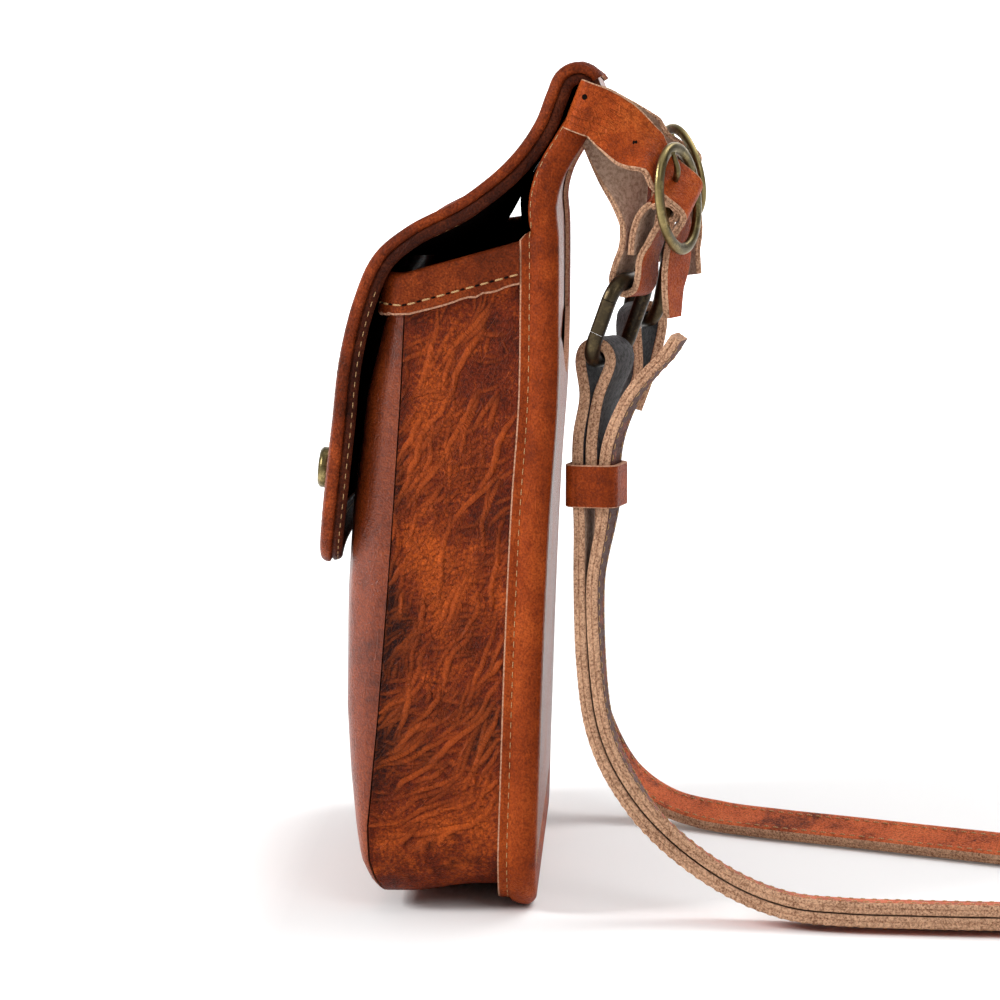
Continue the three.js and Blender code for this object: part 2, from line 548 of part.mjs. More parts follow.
/** The far connector strap swings only once it is clear of the panel. */
function farStrap(point) {
  const clear = THREE.MathUtils.smoothstep(point.clone().sub(SLIT).dot(slitOut), 4, 20);
  const turned = point.clone().sub(SLIT).applyAxisAngle(X_AXIS, radians(FAR_SWING) * clear).add(SLIT);
  turned.x = -turned.x;
  return turned;
}

/** Geometry with every point moved by a function, its faces turned to point out again. */
function moved(geometry, move) {
  const { position } = geometry.attributes;
  const points = count(position.count).map((k) => move(vector(0, 0, 0).fromBufferAttribute(position, k)));
  const { index } = geometry;
  const triangles = count(index.count / 3).map((k) => [0, 1, 2].map((c) => index.getX(3 * k + c)));
  return solid(points, triangles);
}

const row = (point, turn, dip, width = 1) => ({ x: point.x, y: point.y, z: point.z, turn, dip, width });
const SLIT_SHARE = 0.92; // the strap is pinched a little in its slit
const slitRow = (x, out) => row(stepped(vector(x, SLIT.y, SLIT.z), [slitOut, out]), 90, 56, SLIT_SHARE);
const loopShare = CONNECTOR_LOOP_WIDTH / CONNECTOR_WIDTH;
const loopRow = (point, dip) => row(point, HARDWARE_TURN, dip, loopShare);
const bend = (centre, radius, angles, place) => angles.map((angle) => {
  return place(centre.s + radius * Math.cos(radians(angle)), centre.z + radius * Math.sin(radians(angle)));
});
const U_RADIUS = HOOK_BAR + 0.8 + CONNECTOR / 2;
const WRAP_RADIUS = BUCKLE_BAR + 0.7 + CONNECTOR / 2;
const nearLeg = HALF_WIDTH + PANEL_MARGIN + SEAM + CONNECTOR / 2 + 0.4;
// The strap's way through the buckle: along its length, and off its plane
const BUCKLE_WEAVE = [
  [-15.8, -3.7], [-10.6, -2.9], [-7, -0.4], [0, 4.1], [7, -0.4], [10.6, -2.9], [15.8, -3.7],
];
const connectorRows = [
  row(vector(81.5, 63.4, 173), HARDWARE_TURN, 6),
  row(vector(81.6, 63.6, 184), HARDWARE_TURN, 20),
  ...BUCKLE_WEAVE.map(([c, n]) => row(buckle(c, n), HARDWARE_TURN, BUCKLE_TURN, 0.94)),
  row(vector(93.9, 51.8, 223), 58, 50),
  row(vector(nearLeg, 45, 226.9), 86, 56),
  ...[[0, 3], [0, -2], [-1, -4], [-3.6, -4.9]].map(([x, out]) => slitRow(nearLeg + x, out)),
  ...[[3.6, -4.9], [1, -4], [0, -2], [0, 3]].map(([x, out]) => slitRow(SLIT.x + x, out)),
  row(vector(80, 44.6, 226.2), 88, 52),
  row(vector(80.5, 47.8, 218), 68, 34),
  row(vector(81, 50.2, 208.5), 38, 12),
  ...[[3.6, 200], [3.4, 194], [1.4, 188.6]].map(([s, z]) => loopRow(hang(s, z), 0)),
  ...bend(HOOK_TOP, U_RADIUS, [180, 225, 270, 315, 360], hang).map((point) => loopRow(point, 0)),
  loopRow(hang(8.7, 190, -0.8), 6),
  loopRow(hang(10.1, 194.6, -2), 18),
  loopRow(buckle(-7.4, -6.4, 2.6), 34),
  loopRow(buckle(-4.6, -4.6, 0.4), BUCKLE_TURN),
  ...bend({ s: -1.5, z: 0 }, WRAP_RADIUS, [-120, -60, 0, 60, 120], (n, c) => buckle(c, n)).map((point) => {
    return loopRow(point, BUCKLE_TURN);
  }),
  loopRow(hang(12.4, 208.8), 35),
  loopRow(hang(9, 204.6), 18),
  loopRow(hang(6.9, 198), 4),
  loopRow(hang(6.2, 191.4), 0),
];
const connectorStations = strapStations(connectorRows, Math.round((connectorRows.length - 1) * 1.75));
const connectorSolid = sweep(connectorStations, rectangle(CONNECTOR_WIDTH, CONNECTOR));

/** Tube through a few points, with flat ends. */
function tube(points, radius, sides, steps) {
  const curve = smooth(points);
  const { normals, binormals } = curve.computeFrenetFrames(steps, false);
  const stations = between(0, 1, steps).map((t, k) => {
    return { at: curve.getPointAt(t), across: normals[k], up: binormals[k] };
  });
  return sweep(stations, round(radius, sides));
}
const PRONG = 1;
const prongPath = [[4.4, -2.2], [6.9, 0.7], [10.5, 2.4], [BUCKLE_HALF_LENGTH + 1, BUCKLE_BAR + PRONG + 0.4]]
  .map(([c, n]) => buckle(c, n));
const prongSolid = tube(prongPath, PRONG, 6, 6);
const prongHole = tube(prongPath, PRONG + 0.45, 8, 6);
const pierced = fromManifold(toManifold(connectorSolid).subtract(toManifold(prongHole)));

/** Closed ring through planar stations. */
const ring = (steps, at, face, section) => sweep(count(steps).map((k) => {
  const here = at(k / steps);
  const along = at((k + 0.5) / steps).sub(at((k + steps - 0.5) / steps)).normalize();
  return { at: here, across: vector(0, 0, 0).crossVectors(along, face).normalize(), up: face };
}), section, true);
const BUCKLE_BAND = [[-1.7, 0], [-0.9, -1.2], [0.9, -1.2], [1.7, 0], [0.9, 1.2], [-0.9, 1.2]];
const buckleRing = ring(22, (share) => {
  const angle = share * 2 * Math.PI;
  return buckle(BUCKLE_HALF_LENGTH * Math.cos(angle), 0, BUCKLE_HALF_WIDTH * Math.sin(angle));
}, deep, BUCKLE_BAND);
const barPath = [-BUCKLE_HALF_WIDTH, -8.5, -3, 3, 8.5, BUCKLE_HALF_WIDTH].map((v) => {
  return buckle(0, Math.abs(v) > 9 ? 0 : -1.5, v);
});
const buckleSolid = fromManifold(toManifold(buckleRing).add(toManifold(tube(barPath, BUCKLE_BAR, 8, 6))));

/** Rounded rectangle as a function of the share of its length. */
function roundedRectangle(halfWidth, halfLength, radius, share) {
  const straight = [2 * (halfLength - radius), 2 * (halfWidth - radius)];
  const arc = (Math.PI / 2) * radius;
  let rest = share * 2 * (straight[0] + straight[1] + 2 * arc);
  for (let k = 0; k < 4; k += 1) {
    const turn = (k * Math.PI) / 2;
    const a = k % 2 ? halfLength : halfWidth;
    const length = straight[k % 2];
    const angle = Math.max(rest - length, 0) / radius;
    if (rest <= length + arc) {
      const x = a - radius * (1 - Math.cos(angle));
      const y = Math.min(rest, length) - length / 2 + radius * Math.sin(angle);
      return [x * Math.cos(turn) - y * Math.sin(turn), x * Math.sin(turn) + y * Math.cos(turn)];
    }
    rest -= length + arc;
  }
  return [halfWidth, -(halfLength - radius)];
}
const hookRing = ring(26, (share) => {
  return hookPoint(...roundedRectangle(HOOK_HALF_WIDTH, HOOK_HALF_LENGTH, HOOK_CORNER, share % 1));
}, hookFace, round(HOOK_BAR, 8));

/** Prism across the hook's bar, between outlines given as [v, l]. */
function hookPrism(outline) {
  const points = [-5, 5].flatMap((depth) => {
    return outline.map(([v, l]) => hookPoint(v, l).addScaledVector(hookFace, depth));
  });
  return solid(points, [[0, 1, 2], [0, 2, 3], [4, 6, 5], [4, 7, 6], ...[0, 1, 2, 3].flatMap((k) => {
    const next = (k + 1) % 4;
    return [[k, k + 4, next], [next, k + 4, next + 4]];
  })]);
}
const GATE = { hinge: 6.5, foot: -5, slant: 1.8, gap: 0.45 };
const gateOutline = (grow) => [
  [HOOK_HALF_WIDTH - 4, GATE.hinge + grow], [HOOK_HALF_WIDTH + 4, GATE.hinge + grow],
  [HOOK_HALF_WIDTH + 4, GATE.foot + GATE.slant - grow], [HOOK_HALF_WIDTH - 4, GATE.foot - grow],
];
const hookSolid = fromManifold(toManifold(hookRing).subtract(toManifold(hookPrism(gateOutline(GATE.gap)))));
const gateSolid = fromManifold(toManifold(hookRing).intersect(toManifold(hookPrism(gateOutline(0)))));

for (const [side, move, moveStrap] of [['near', (p) => p, (p) => p], ['far', farSide, farStrap]]) {
  add(`${side}_connector`, moved(pierced, moveStrap), 'strap');
  add(`${side}_buckle`, moved(buckleSolid, move), 'brass');
  add(`${side}_prong`, moved(prongSolid, move), 'brass');
  add(`${side}_hook`, moved(hookSolid, move), 'bronze');
  add(`${side}_gate`, moved(gateSolid, move), 'bronze');
}

// Slits for the connectors and the hole for the stud
const slitBox = new THREE.BoxGeometry(CONNECTOR + 1.8, 10, CONNECTOR_WIDTH + 1);
slitBox.rotateX(-slope);
slitBox.translate(SLIT.x, SLIT.y, SLIT.z);
const farSlitBox = slitBox.clone().translate(-2 * SLIT.x, 0, 0);
const cuts = [slitBox, farSlitBox, studHole].map((geometry) => toManifold(shared(geometry)));
const cutPanel = cuts.reduce((left, cut) => left.subtract(cut), toManifold(panelSheet));
add('back_flap_panel', fromManifold(cutPanel), 'leather');

// Shoulder strap: a short half on the near hook, and a long half whose tail lies on it
const BOW = {
  s: HOOK_TOP.s - 2 * HOOK_HALF_LENGTH * Math.sin(tilt),
  z: HOOK_TOP.z - 2 * HOOK_HALF_LENGTH * Math.cos(tilt),
};
const LOOP_RADIUS = HOOK_BAR + 0.9 + STRAP / 2;
const loop = (place) => bend(BOW, LOOP_RADIUS, [0, 45, 90, 135, 180], place);
const FLOOR = STRAP / 2 - STAND; // middle of a strap that lies on the floor
const LAID = 105.5; // x of the doubled strap on the floor
const BAR = { y: 246, z: 6 - STAND, radius: 1.5 }; // centre bar of the strap's own buckle
const WRAP = BAR.radius + 0.9 + STRAP / 2;
const shortEnd = [
  { x: 81.4, y: 41.4, z: 120.6, turn: 14 }, { x: 81.2, y: 41.5, z: 129, turn: 14 },
  { x: 80.4, y: 42, z: 138, turn: 17 }, { x: 79.2, y: 44.3, z: 150, turn: 21 },
];
const shortDrop = [
  { x: 77.6, y: 40.2, z: 150, turn: 21 }, { x: 79.4, y: 38, z: 138, turn: 17 },
  { x: 81.2, y: 37.6, z: 124, turn: 14 }, { x: 81.8, y: 37.8, z: 112, turn: 12 },
];
const shortLaid = [
  { x: 82.6, y: 37.5, z: 95, turn: 9 }, { x: 84.4, y: 38.2, z: 70, turn: 6 },
  { x: 86.5, y: 40.6, z: 52.8, turn: 4 }, { x: 87.6, y: 46, z: 39, turn: 2 },
  { x: 89.4, y: 58.4, z: 21.2, turn: 0 }, { x: 93.4, y: 79, z: 5.9, turn: 0 },
  { x: 98, y: 97, z: -0.8, turn: 0 }, { x: 101.6, y: 114, z: FLOOR + 0.2, turn: 0 },
  { x: 103.6, y: 134, z: FLOOR, turn: 0 }, { x: 105, y: 158, z: FLOOR, turn: 0 },
  { x: LAID, y: 190, z: FLOOR, turn: 0 }, { x: LAID, y: 220, z: FLOOR, turn: 0 },
];
const shortTip = [
  { x: LAID, y: 238, z: FLOOR, turn: 0 },
  ...[-90, -45, 0, 45, 90, 150].map((angle) => ({
    x: LAID, y: BAR.y + WRAP * Math.cos(radians(angle)), z: BAR.z + WRAP * Math.sin(radians(angle)), turn: 0,
  })),
];
const shortRows = [
  ...shortEnd, ...loop(hang).map((point) => row(point, HARDWARE_TURN, 0)), ...shortDrop, ...shortLaid,
  ...shortTip,
];
const shortStations = strapStations(shortRows, (shortRows.length - 1) * 2);
add('short_strap', sweep(shortStations, rectangle(STRAP_WIDTH, STRAP)), 'strap');

const LAYER = STRAP + 0.45; // from the middle of one layer to the middle of the next
const laidEnd = shortRows.length - shortTip.length;
const everyRow = strapStations(shortRows, shortRows.length - 1);
const laidStations = everyRow.slice(laidEnd - shortLaid.length, laidEnd);
const laidTop = laidStations.map((station, k) => {
  const lift = station.up.z < 0 || (Math.abs(station.up.z) < 0.5 && station.up.y < 0) ? -LAYER : LAYER;
  const point = station.at.clone().addScaledVector(station.up, lift);
  return { x: point.x, y: point.y, z: point.z, turn: shortLaid[k].turn };
});
const tail = [
  { x: 86.6, y: 65.4, z: 167.6, turn: 10 }, { x: 86, y: 61.8, z: 162.2, turn: 10 },
  { x: 85, y: 57.3, z: 157.4, turn: 11 }, { x: 84, y: 52.2, z: 150.8, turn: 12 },
  { x: 83, y: 48.4, z: 143, turn: 13 }, { x: 82.3, y: 46.2, z: 136, turn: 14 },
  { x: 82, y: 45.3, z: 129, turn: 14 }, { x: 82, y: 45.2, z: 119, turn: 14 },
  { x: 82.2, y: 44, z: 111, turn: 12 }, { x: 82.6, y: 42.4, z: 103, turn: 10 },
];
const U_RADIUS_FLOOR = 38;
const U_Y = 356;
const overBuckle = [
  { x: LAID, y: 232, z: 8 - STAND, turn: 0 }, { x: LAID, y: BAR.y, z: BAR.z + WRAP + LAYER + 0.4, turn: 0 },
  { x: LAID, y: 258, z: 7 - STAND, turn: 0 }, { x: LAID, y: 268, z: 2.4 - STAND, turn: 0 },
  { x: LAID, y: 282, z: FLOOR + 0.2, turn: 0 }, { x: LAID, y: 318, z: FLOOR, turn: 0 },
];
const turnRound = between(0, 180, 8).map((angle) => ({
  x: LAID - U_RADIUS_FLOOR * (1 - Math.cos(radians(angle))),
  y: U_Y + U_RADIUS_FLOOR * Math.sin(radians(angle)),
  z: FLOOR,
  turn: -angle,
}));
const farLaid = [
  { x: 29, y: 318, z: FLOOR, turn: -179 }, { x: 28.5, y: 270, z: FLOOR, turn: -176 },
  { x: 23.5, y: 220, z: FLOOR, turn: -168 }, { x: 12.5, y: 182, z: FLOOR, turn: -160 },
  { x: -2.5, y: 152, z: FLOOR, turn: -154 }, { x: -18.5, y: 122, z: FLOOR, turn: -152 },
  { x: -31.5, y: 97, z: FLOOR + 0.3, turn: -148 }, { x: -43.5, y: 78, z: -1.2, turn: -146 },
  { x: -56, y: 63, z: 3.8, turn: -150 }, { x: -62, y: 52, z: 15, turn: -160 },
  { x: -64.4, y: 44.6, z: 32.5, turn: -168 }, { x: -66, y: 40.6, z: 53.9, turn: -174 },
  { x: -70, y: 39, z: 76, turn: -180 }, { x: -74, y: 39.6, z: 98, turn: -186 },
  { x: -76.4, y: 42.4, z: 118, turn: -192 }, { x: -77.2, y: 46.6, z: 133, turn: -198 },
  { x: -77.6, y: 50.6, z: 145, turn: -204 },
];
const farTurn = -180 - HARDWARE_TURN;
const farRise = Math.sin(radians(HARDWARE_TURN)) * Math.sin(radians(FAR_SWING));
const farDip = THREE.MathUtils.radToDeg(Math.asin(farRise));
const farLoop = loop(hang).reverse().map((point) => row(farSide(point), farTurn, farDip));
const farEnd = [
  { x: -79.4, y: 56.6, z: 150, turn: -204 }, { x: -79, y: 53.6, z: 140.6, turn: -202 },
  { x: -78.6, y: 51.2, z: 133, turn: -198 },
];
const longRows = [...tail, ...laidTop, ...overBuckle, ...turnRound, ...farLaid, ...farLoop, ...farEnd];
const longStations = strapStations(longRows, (longRows.length - 1) * 2);
add('long_strap', sweep(longStations, rectangle(STRAP_WIDTH, STRAP)), 'strap');

// Keeper round the two strap layers and the tail
const KEEPER = { at: vector(81.6, 41.4, 124), height: 12.5, halfWide: STRAP_WIDTH / 2 + 0.9, halfDeep: 6.4 };
const keeperTurn = radians(14);
const keeperWide = vector(Math.cos(keeperTurn), -Math.sin(keeperTurn), 0);
const keeperDeep = vector(Math.sin(keeperTurn), Math.cos(keeperTurn), 0);
add('keeper', ring(28, (share) => {
  const [u, v] = roundedRectangle(KEEPER.halfWide + BAND / 2, KEEPER.halfDeep + BAND / 2, 1.2, share % 1);
  return stepped(KEEPER.at, [keeperWide, u], [keeperDeep, v]);
}, Z_AXIS, rectangle(BAND, KEEPER.height)), 'binding');

// The strap's own buckle: a plain bent frame with a centre bar
const FRAME = { halfWide: STRAP_WIDTH / 2 + 3.2, nearY: 229, nearZ: 11 - STAND, farY: 264, farZ: 8 - STAND };
const RAIL = [{ y: FRAME.nearY, z: FRAME.nearZ }, { y: BAR.y, z: BAR.z }, { y: FRAME.farY, z: FRAME.farZ }];
const frameMiddle = (FRAME.nearY + FRAME.farY) / 2;
const strapFrame = ring(32, (share) => {
  const [u, v] = roundedRectangle(FRAME.halfWide, (FRAME.farY - FRAME.nearY) / 2, 3, share % 1);
  return vector(LAID + u, frameMiddle + v, lookUp(RAIL, 'y', 'z', frameMiddle + v));
}, Z_AXIS, round(BAR.radius, 6));
const strapBarPath = [-FRAME.halfWide, 0, FRAME.halfWide].map((u) => vector(LAID + u, BAR.y, BAR.z));
const strapBar = tube(strapBarPath, BAR.radius, 6, 2);
add('strap_buckle', fromManifold(toManifold(strapFrame).add(toManifold(strapBar))), 'brass');

export default bag;
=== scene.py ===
# %% [markdown]
# # A small crossbody bag in pull-up leather
# The bag stands on its bottom and is seen from the side: the flap and its stud are at the left, the back
# panel at the right, and the shoulder strap runs off to the right over the floor. Every piece is worked out
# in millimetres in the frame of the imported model, so that it lies where its solid lies.

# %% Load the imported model
import math

import bpy
import numpy as np
from mathutils import Matrix


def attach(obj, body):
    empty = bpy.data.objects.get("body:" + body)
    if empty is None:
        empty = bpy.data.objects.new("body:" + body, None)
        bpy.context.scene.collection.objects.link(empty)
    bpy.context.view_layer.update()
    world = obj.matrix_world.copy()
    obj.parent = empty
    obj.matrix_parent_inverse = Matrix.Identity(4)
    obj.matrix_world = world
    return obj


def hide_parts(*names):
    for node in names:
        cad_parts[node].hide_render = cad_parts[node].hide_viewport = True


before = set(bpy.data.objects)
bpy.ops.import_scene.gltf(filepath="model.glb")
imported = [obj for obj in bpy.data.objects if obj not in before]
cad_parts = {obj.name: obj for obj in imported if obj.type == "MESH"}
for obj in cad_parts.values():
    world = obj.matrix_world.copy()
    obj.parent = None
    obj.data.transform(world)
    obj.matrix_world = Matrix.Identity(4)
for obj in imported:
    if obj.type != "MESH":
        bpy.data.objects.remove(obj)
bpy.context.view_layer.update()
MM = 0.001
STAND = 3.8  # millimetres from the floor to the height that the tables count from

# %% [markdown]
# ## Camera, floor and light
# The camera stands a little over a metre from the bag's side, slightly above its middle, and looks down by
# about six degrees with a long lens. The floor and the world are nearly white. A wide softbox from behind on
# the right throws the shadow to the left and forward. A low one at the left grazes the side, so that its creases
# show, and two weak ones overhead and beside the camera lift the rest.

# %% Camera, floor and light
def aim(thing, place, direction):
    """Put an object at a place, its local -Z along a direction and its local Y up."""
    back = -np.asarray(direction, float) / np.linalg.norm(direction)
    right = np.cross([0.0, 0.0, 1.0], back)
    right /= np.linalg.norm(right)
    matrix = np.eye(4)
    matrix[:3, 0], matrix[:3, 1], matrix[:3, 2], matrix[:3, 3] = right, np.cross(back, right), back, place
    thing.matrix_world = Matrix(matrix.tolist())


def stand(name, data, place, direction):
    """Link a camera or light to the scene and aim it."""
    thing = bpy.data.objects.new(name, data)
    bpy.context.scene.collection.objects.link(thing)
    aim(thing, place, direction)
    return thing


HALF_PICTURE, FOCAL = 500, 3620.69  # in pixels of the picture
lens = bpy.data.cameras.new("camera")
lens.angle = 2 * math.atan(HALF_PICTURE / FOCAL)
camera = stand("camera", lens, (1.140, 0.05367, 0.23986), (-0.99322, -0.03817, -0.10981))
bpy.context.scene.camera = camera
bpy.context.scene.view_settings.view_transform = "Standard"

SOFTBOXES = {  # place, edge in metres, power in watts
    "back_right": ((-0.35, 0.75, 1.25), 0.9, 11.0),
    "overhead": ((0.10, 0.10, 1.50), 1.3, 5.0),
    "camera_right": ((1.30, 0.65, 1.05), 0.7, 4.5),
    "left_wall": ((0.42, -1.05, 0.75), 0.45, 14.0),
}
for name, (place, size, power) in SOFTBOXES.items():
    light = bpy.data.lights.new(name, "AREA")
    light.size, light.energy = size, power
    stand(name, light, place, np.array([0.0, 0.03, 0.1]) - place)

world = bpy.data.worlds.new("studio")
bpy.context.scene.world = world
world.use_nodes = True
world.node_tree.nodes["Background"].inputs["Color"].default_value = (1.0, 1.0, 1.0, 1.0)
world.node_tree.nodes["Background"].inputs["Strength"].default_value = 0.3
print("lens angle", round(math.degrees(lens.angle), 2), "softboxes", len(SOFTBOXES))

# %% [markdown]
# ## Node helpers
# A material here is a short list of nodes. One helper places a node and fills its sockets, either with a value
# or with a link, and another opens a node group with named inputs and outputs. The rest are short names for
# nodes that come up often.

# %% Node helpers
def put(tree, kind, sockets=None, **settings):
    """Place a node; a socket is given by name or number, as a value or as another node's output."""
    node = tree.nodes.new(kind)
    for key, value in settings.items():
        setattr(node, key, value)
    for key, value in (sockets or {}).items():
        if isinstance(value, bpy.types.NodeSocket):
            tree.links.new(value, node.inputs[key])
        else:
            node.inputs[key].default_value = value
    return node


def open_group(name, inputs, outputs):
    """A new shader node group with its input and output nodes."""
    tree = bpy.data.node_groups.new(name, "ShaderNodeTree")
    for label, kind, value in inputs:
        socket = tree.interface.new_socket(label, in_out="INPUT", socket_type=kind)
        if value is not None:
            socket.default_value = value
    for label, kind in outputs:
        tree.interface.new_socket(label, in_out="OUTPUT", socket_type=kind)
    return tree, tree.nodes.new("NodeGroupInput").outputs, tree.nodes.new("NodeGroupOutput")


def math_node(tree, operation, a, b=0.0, c=0.0):
    """Output of one Math node."""
    return put(tree, "ShaderNodeMath", {0: a, 1: b, 2: c}, operation=operation).outputs[0]


def ramp(tree, value, low, high, to_low=0.0, to_high=1.0):
    """Output of a clamped Map Range node."""
    return put(tree, "ShaderNodeMapRange", {0: value, 1: low, 2: high, 3: to_low, 4: to_high}).outputs[0]


def mix(tree, share, a, b):
    """Colour output of a Mix node."""
    return put(tree, "ShaderNodeMix", {0: share, 6: a, 7: b}, data_type="RGBA").outputs[2]


def noise(tree, vector, scale, detail=3.0, roughness=0.5):
    """Factor output of a Noise node."""
    sockets = {"Vector": vector, "Scale": scale, "Detail": detail, "Roughness": roughness}
    return put(tree, "ShaderNodeTexNoise", sockets).outputs["Fac"]


FLOAT, COLOUR, VECTOR = "NodeSocketFloat", "NodeSocketColor", "NodeSocketVector"
print("node helpers ready")

# %% [markdown]
# ## Effects that several finishes share
# Tanned hide has three things that show at this distance: fine pebbled grain, slow changes of tone where the
# wax was pushed aside, and creases. Each one is a node group that gives heights, masks or colours only, so that
# every leather can use it with its own values. Raw cut leather and suede share a fourth group of speckles.

# %% Hide grain: pebbles about a millimetre across
hide_grain, source, sink = open_group(
    "hide_grain", [("Vector", VECTOR, None), ("Size", FLOAT, 900.0)], [("Height", FLOAT), ("Pores", FLOAT)])
cells = put(hide_grain, "ShaderNodeTexVoronoi", {"Vector": source["Vector"], "Scale": source["Size"]})
fine = noise(hide_grain, source["Vector"], math_node(hide_grain, "MULTIPLY", source["Size"], 0.45), 4.0, 0.6)
pebble = math_node(hide_grain, "SUBTRACT", 1.0, cells.outputs["Distance"])
height = math_node(hide_grain, "MULTIPLY_ADD", pebble, 0.55, math_node(hide_grain, "MULTIPLY", fine, 0.45))
hide_grain.links.new(height, sink.inputs["Height"])
hide_grain.links.new(ramp(hide_grain, cells.outputs["Distance"], 0.45, 0.8), sink.inputs["Pores"])
print("group", hide_grain.name)

# %% Pull-up tone: slow patches from dark to light
pull_up_tone, source, sink = open_group(
    "pull_up_tone",
    [("Vector", VECTOR, None), ("Patches", FLOAT, 28.0), ("Burn", FLOAT, 0.0), ("Dark", COLOUR, (0.1, 0.03, 0.01, 1)),
     ("Middle", COLOUR, (0.3, 0.1, 0.03, 1)), ("Light", COLOUR, (0.5, 0.2, 0.07, 1))],
    [("Color", COLOUR), ("Tone", FLOAT)])
slow, quick, specks = (
    noise(pull_up_tone, source["Vector"], math_node(pull_up_tone, "MULTIPLY", source["Patches"], k), 3.0, 0.55)
    for k in (1.0, 5.0, 36.0))
tone = math_node(pull_up_tone, "MULTIPLY_ADD", slow, 0.45, math_node(pull_up_tone, "MULTIPLY", quick, 0.27))
tone = math_node(pull_up_tone, "MULTIPLY_ADD", specks, 0.28, tone)
# This input darkens the tone: real burn on the gusset, painted shade where a strap hangs.
tone = math_node(pull_up_tone, "SUBTRACT", tone, math_node(pull_up_tone, "MULTIPLY", source["Burn"], 0.22))
colour = mix(pull_up_tone, ramp(pull_up_tone, tone, 0.36, 0.49), source["Dark"], source["Middle"])
colour = mix(pull_up_tone, ramp(pull_up_tone, tone, 0.5, 0.64), colour, source["Light"])
pull_up_tone.links.new(colour, sink.inputs["Color"])
pull_up_tone.links.new(tone, sink.inputs["Tone"])
print("group", pull_up_tone.name)

# %% Fine creases: a net of thin ridges round long cells, and the pits between them, which the finishes paint pale as painted highlight and dark as painted shade
def stretched_net(tree, vector, turn, stretch, scale, wide):
    """Lines between stretched cells, one on a line and zero inside a cell, and the strips beside them, which the
    finishes paint dark as shade.
    """
    turned = put(tree, "ShaderNodeVectorRotate", {"Vector": vector, "Angle": turn}, rotation_type="Z_AXIS").outputs[0]
    drawn = put(tree, "ShaderNodeVectorMath", {0: turned, 1: (stretch, 1.0, 1.0)}, operation="MULTIPLY").outputs[0]
    cells = put(tree, "ShaderNodeTexVoronoi", {"Vector": drawn, "Scale": scale}, feature="DISTANCE_TO_EDGE",
                voronoi_dimensions="2D")
    off = cells.outputs["Distance"]
    return ramp(tree, off, 0.0, wide, 1.0, 0.0), ramp(tree, off, wide, 3.5 * wide, 1.0, 0.0)


def pushed(tree, vector, scale, reach):
    """Vector moved about by a noise, by up to a reach in metres."""
    cloud = put(tree, "ShaderNodeTexNoise", {"Vector": vector, "Scale": scale, "Detail": 2.0}).outputs["Color"]
    sockets = {0: cloud, 1: (reach, reach, 0.0), 2: vector}
    return put(tree, "ShaderNodeVectorMath", sockets, operation="MULTIPLY_ADD").outputs[0]


creases, source, sink = open_group(
    "creases", [("Vector", VECTOR, None), ("Scale", FLOAT, 300.0)], [("Ridge_and_highlight", FLOAT), ("Pit_and_shade", FLOAT)])
bent = pushed(creases, pushed(creases, source["Vector"], 120.0, 0.003), 420.0, 0.0004)
cross_scale, short_scale = (math_node(creases, "MULTIPLY", source["Scale"], k) for k in (1.3, 2.3))
long_lines, beside_long = stretched_net(creases, bent, 0.0, 0.3, source["Scale"], 0.075)
cross_lines, _ = stretched_net(creases, bent, 1.0, 0.35, cross_scale, 0.07)
short_lines, beside_short = stretched_net(creases, bent, 0.3, 0.5, short_scale, 0.11)
here = ramp(creases, noise(creases, source["Vector"], 110.0, 2.0), 0.4, 0.56, 0.3, 1.0)
there = ramp(creases, noise(creases, bent, 80.0, 2.0), 0.47, 0.6)
ridge_and_highlight = math_node(creases, "MAXIMUM", math_node(creases, "MULTIPLY", long_lines, here),
                  math_node(creases, "MULTIPLY", short_lines, 0.42))
# The lines serve as painted highlight, and the strips beside them, thinned out by a noise, as painted shade in the
# creases.
dark = math_node(creases, "MAXIMUM", math_node(creases, "MULTIPLY", beside_long, here),
                 math_node(creases, "MULTIPLY", cross_lines, there))
dark = math_node(creases, "MAXIMUM", dark, math_node(creases, "MULTIPLY", beside_short, 0.35))
hollow_and_shade = ramp(creases, noise(creases, bent, 420.0, 3.0, 0.6), 0.36, 0.6, 1.0, 0.25)
dark = math_node(creases, "MULTIPLY", dark, hollow_and_shade)
creases.links.new(ridge_and_highlight, sink.inputs["Ridge_and_highlight"])
off_ridge = math_node(creases, "SUBTRACT", 1.0, ridge_and_highlight)
creases.links.new(math_node(creases, "MULTIPLY", dark, off_ridge), sink.inputs["Pit_and_shade"])
print("group", creases.name)

# %% Raw speckle: the fibres of cut leather and suede
raw_speckle, source, sink = open_group(
    "raw_speckle",
    [("Vector", VECTOR, None), ("Size", FLOAT, 1400.0), ("Pale", COLOUR, (0.6, 0.4, 0.27, 1)),
     ("Deep", COLOUR, (0.3, 0.14, 0.07, 1))],
    [("Color", COLOUR), ("Height", FLOAT)])
fibre = noise(raw_speckle, source["Vector"], source["Size"], 4.0, 0.7)
streak = noise(raw_speckle, source["Vector"], math_node(raw_speckle, "MULTIPLY", source["Size"], 0.12), 3.0, 0.5)
both = math_node(raw_speckle, "MULTIPLY_ADD", fibre, 0.86, math_node(raw_speckle, "MULTIPLY", streak, 0.14))
speckled = mix(raw_speckle, ramp(raw_speckle, both, 0.38, 0.58), source["Deep"], source["Pale"])
raw_speckle.links.new(speckled, sink.inputs["Color"])
raw_speckle.links.new(both, sink.inputs["Height"])
print("group", raw_speckle.name)

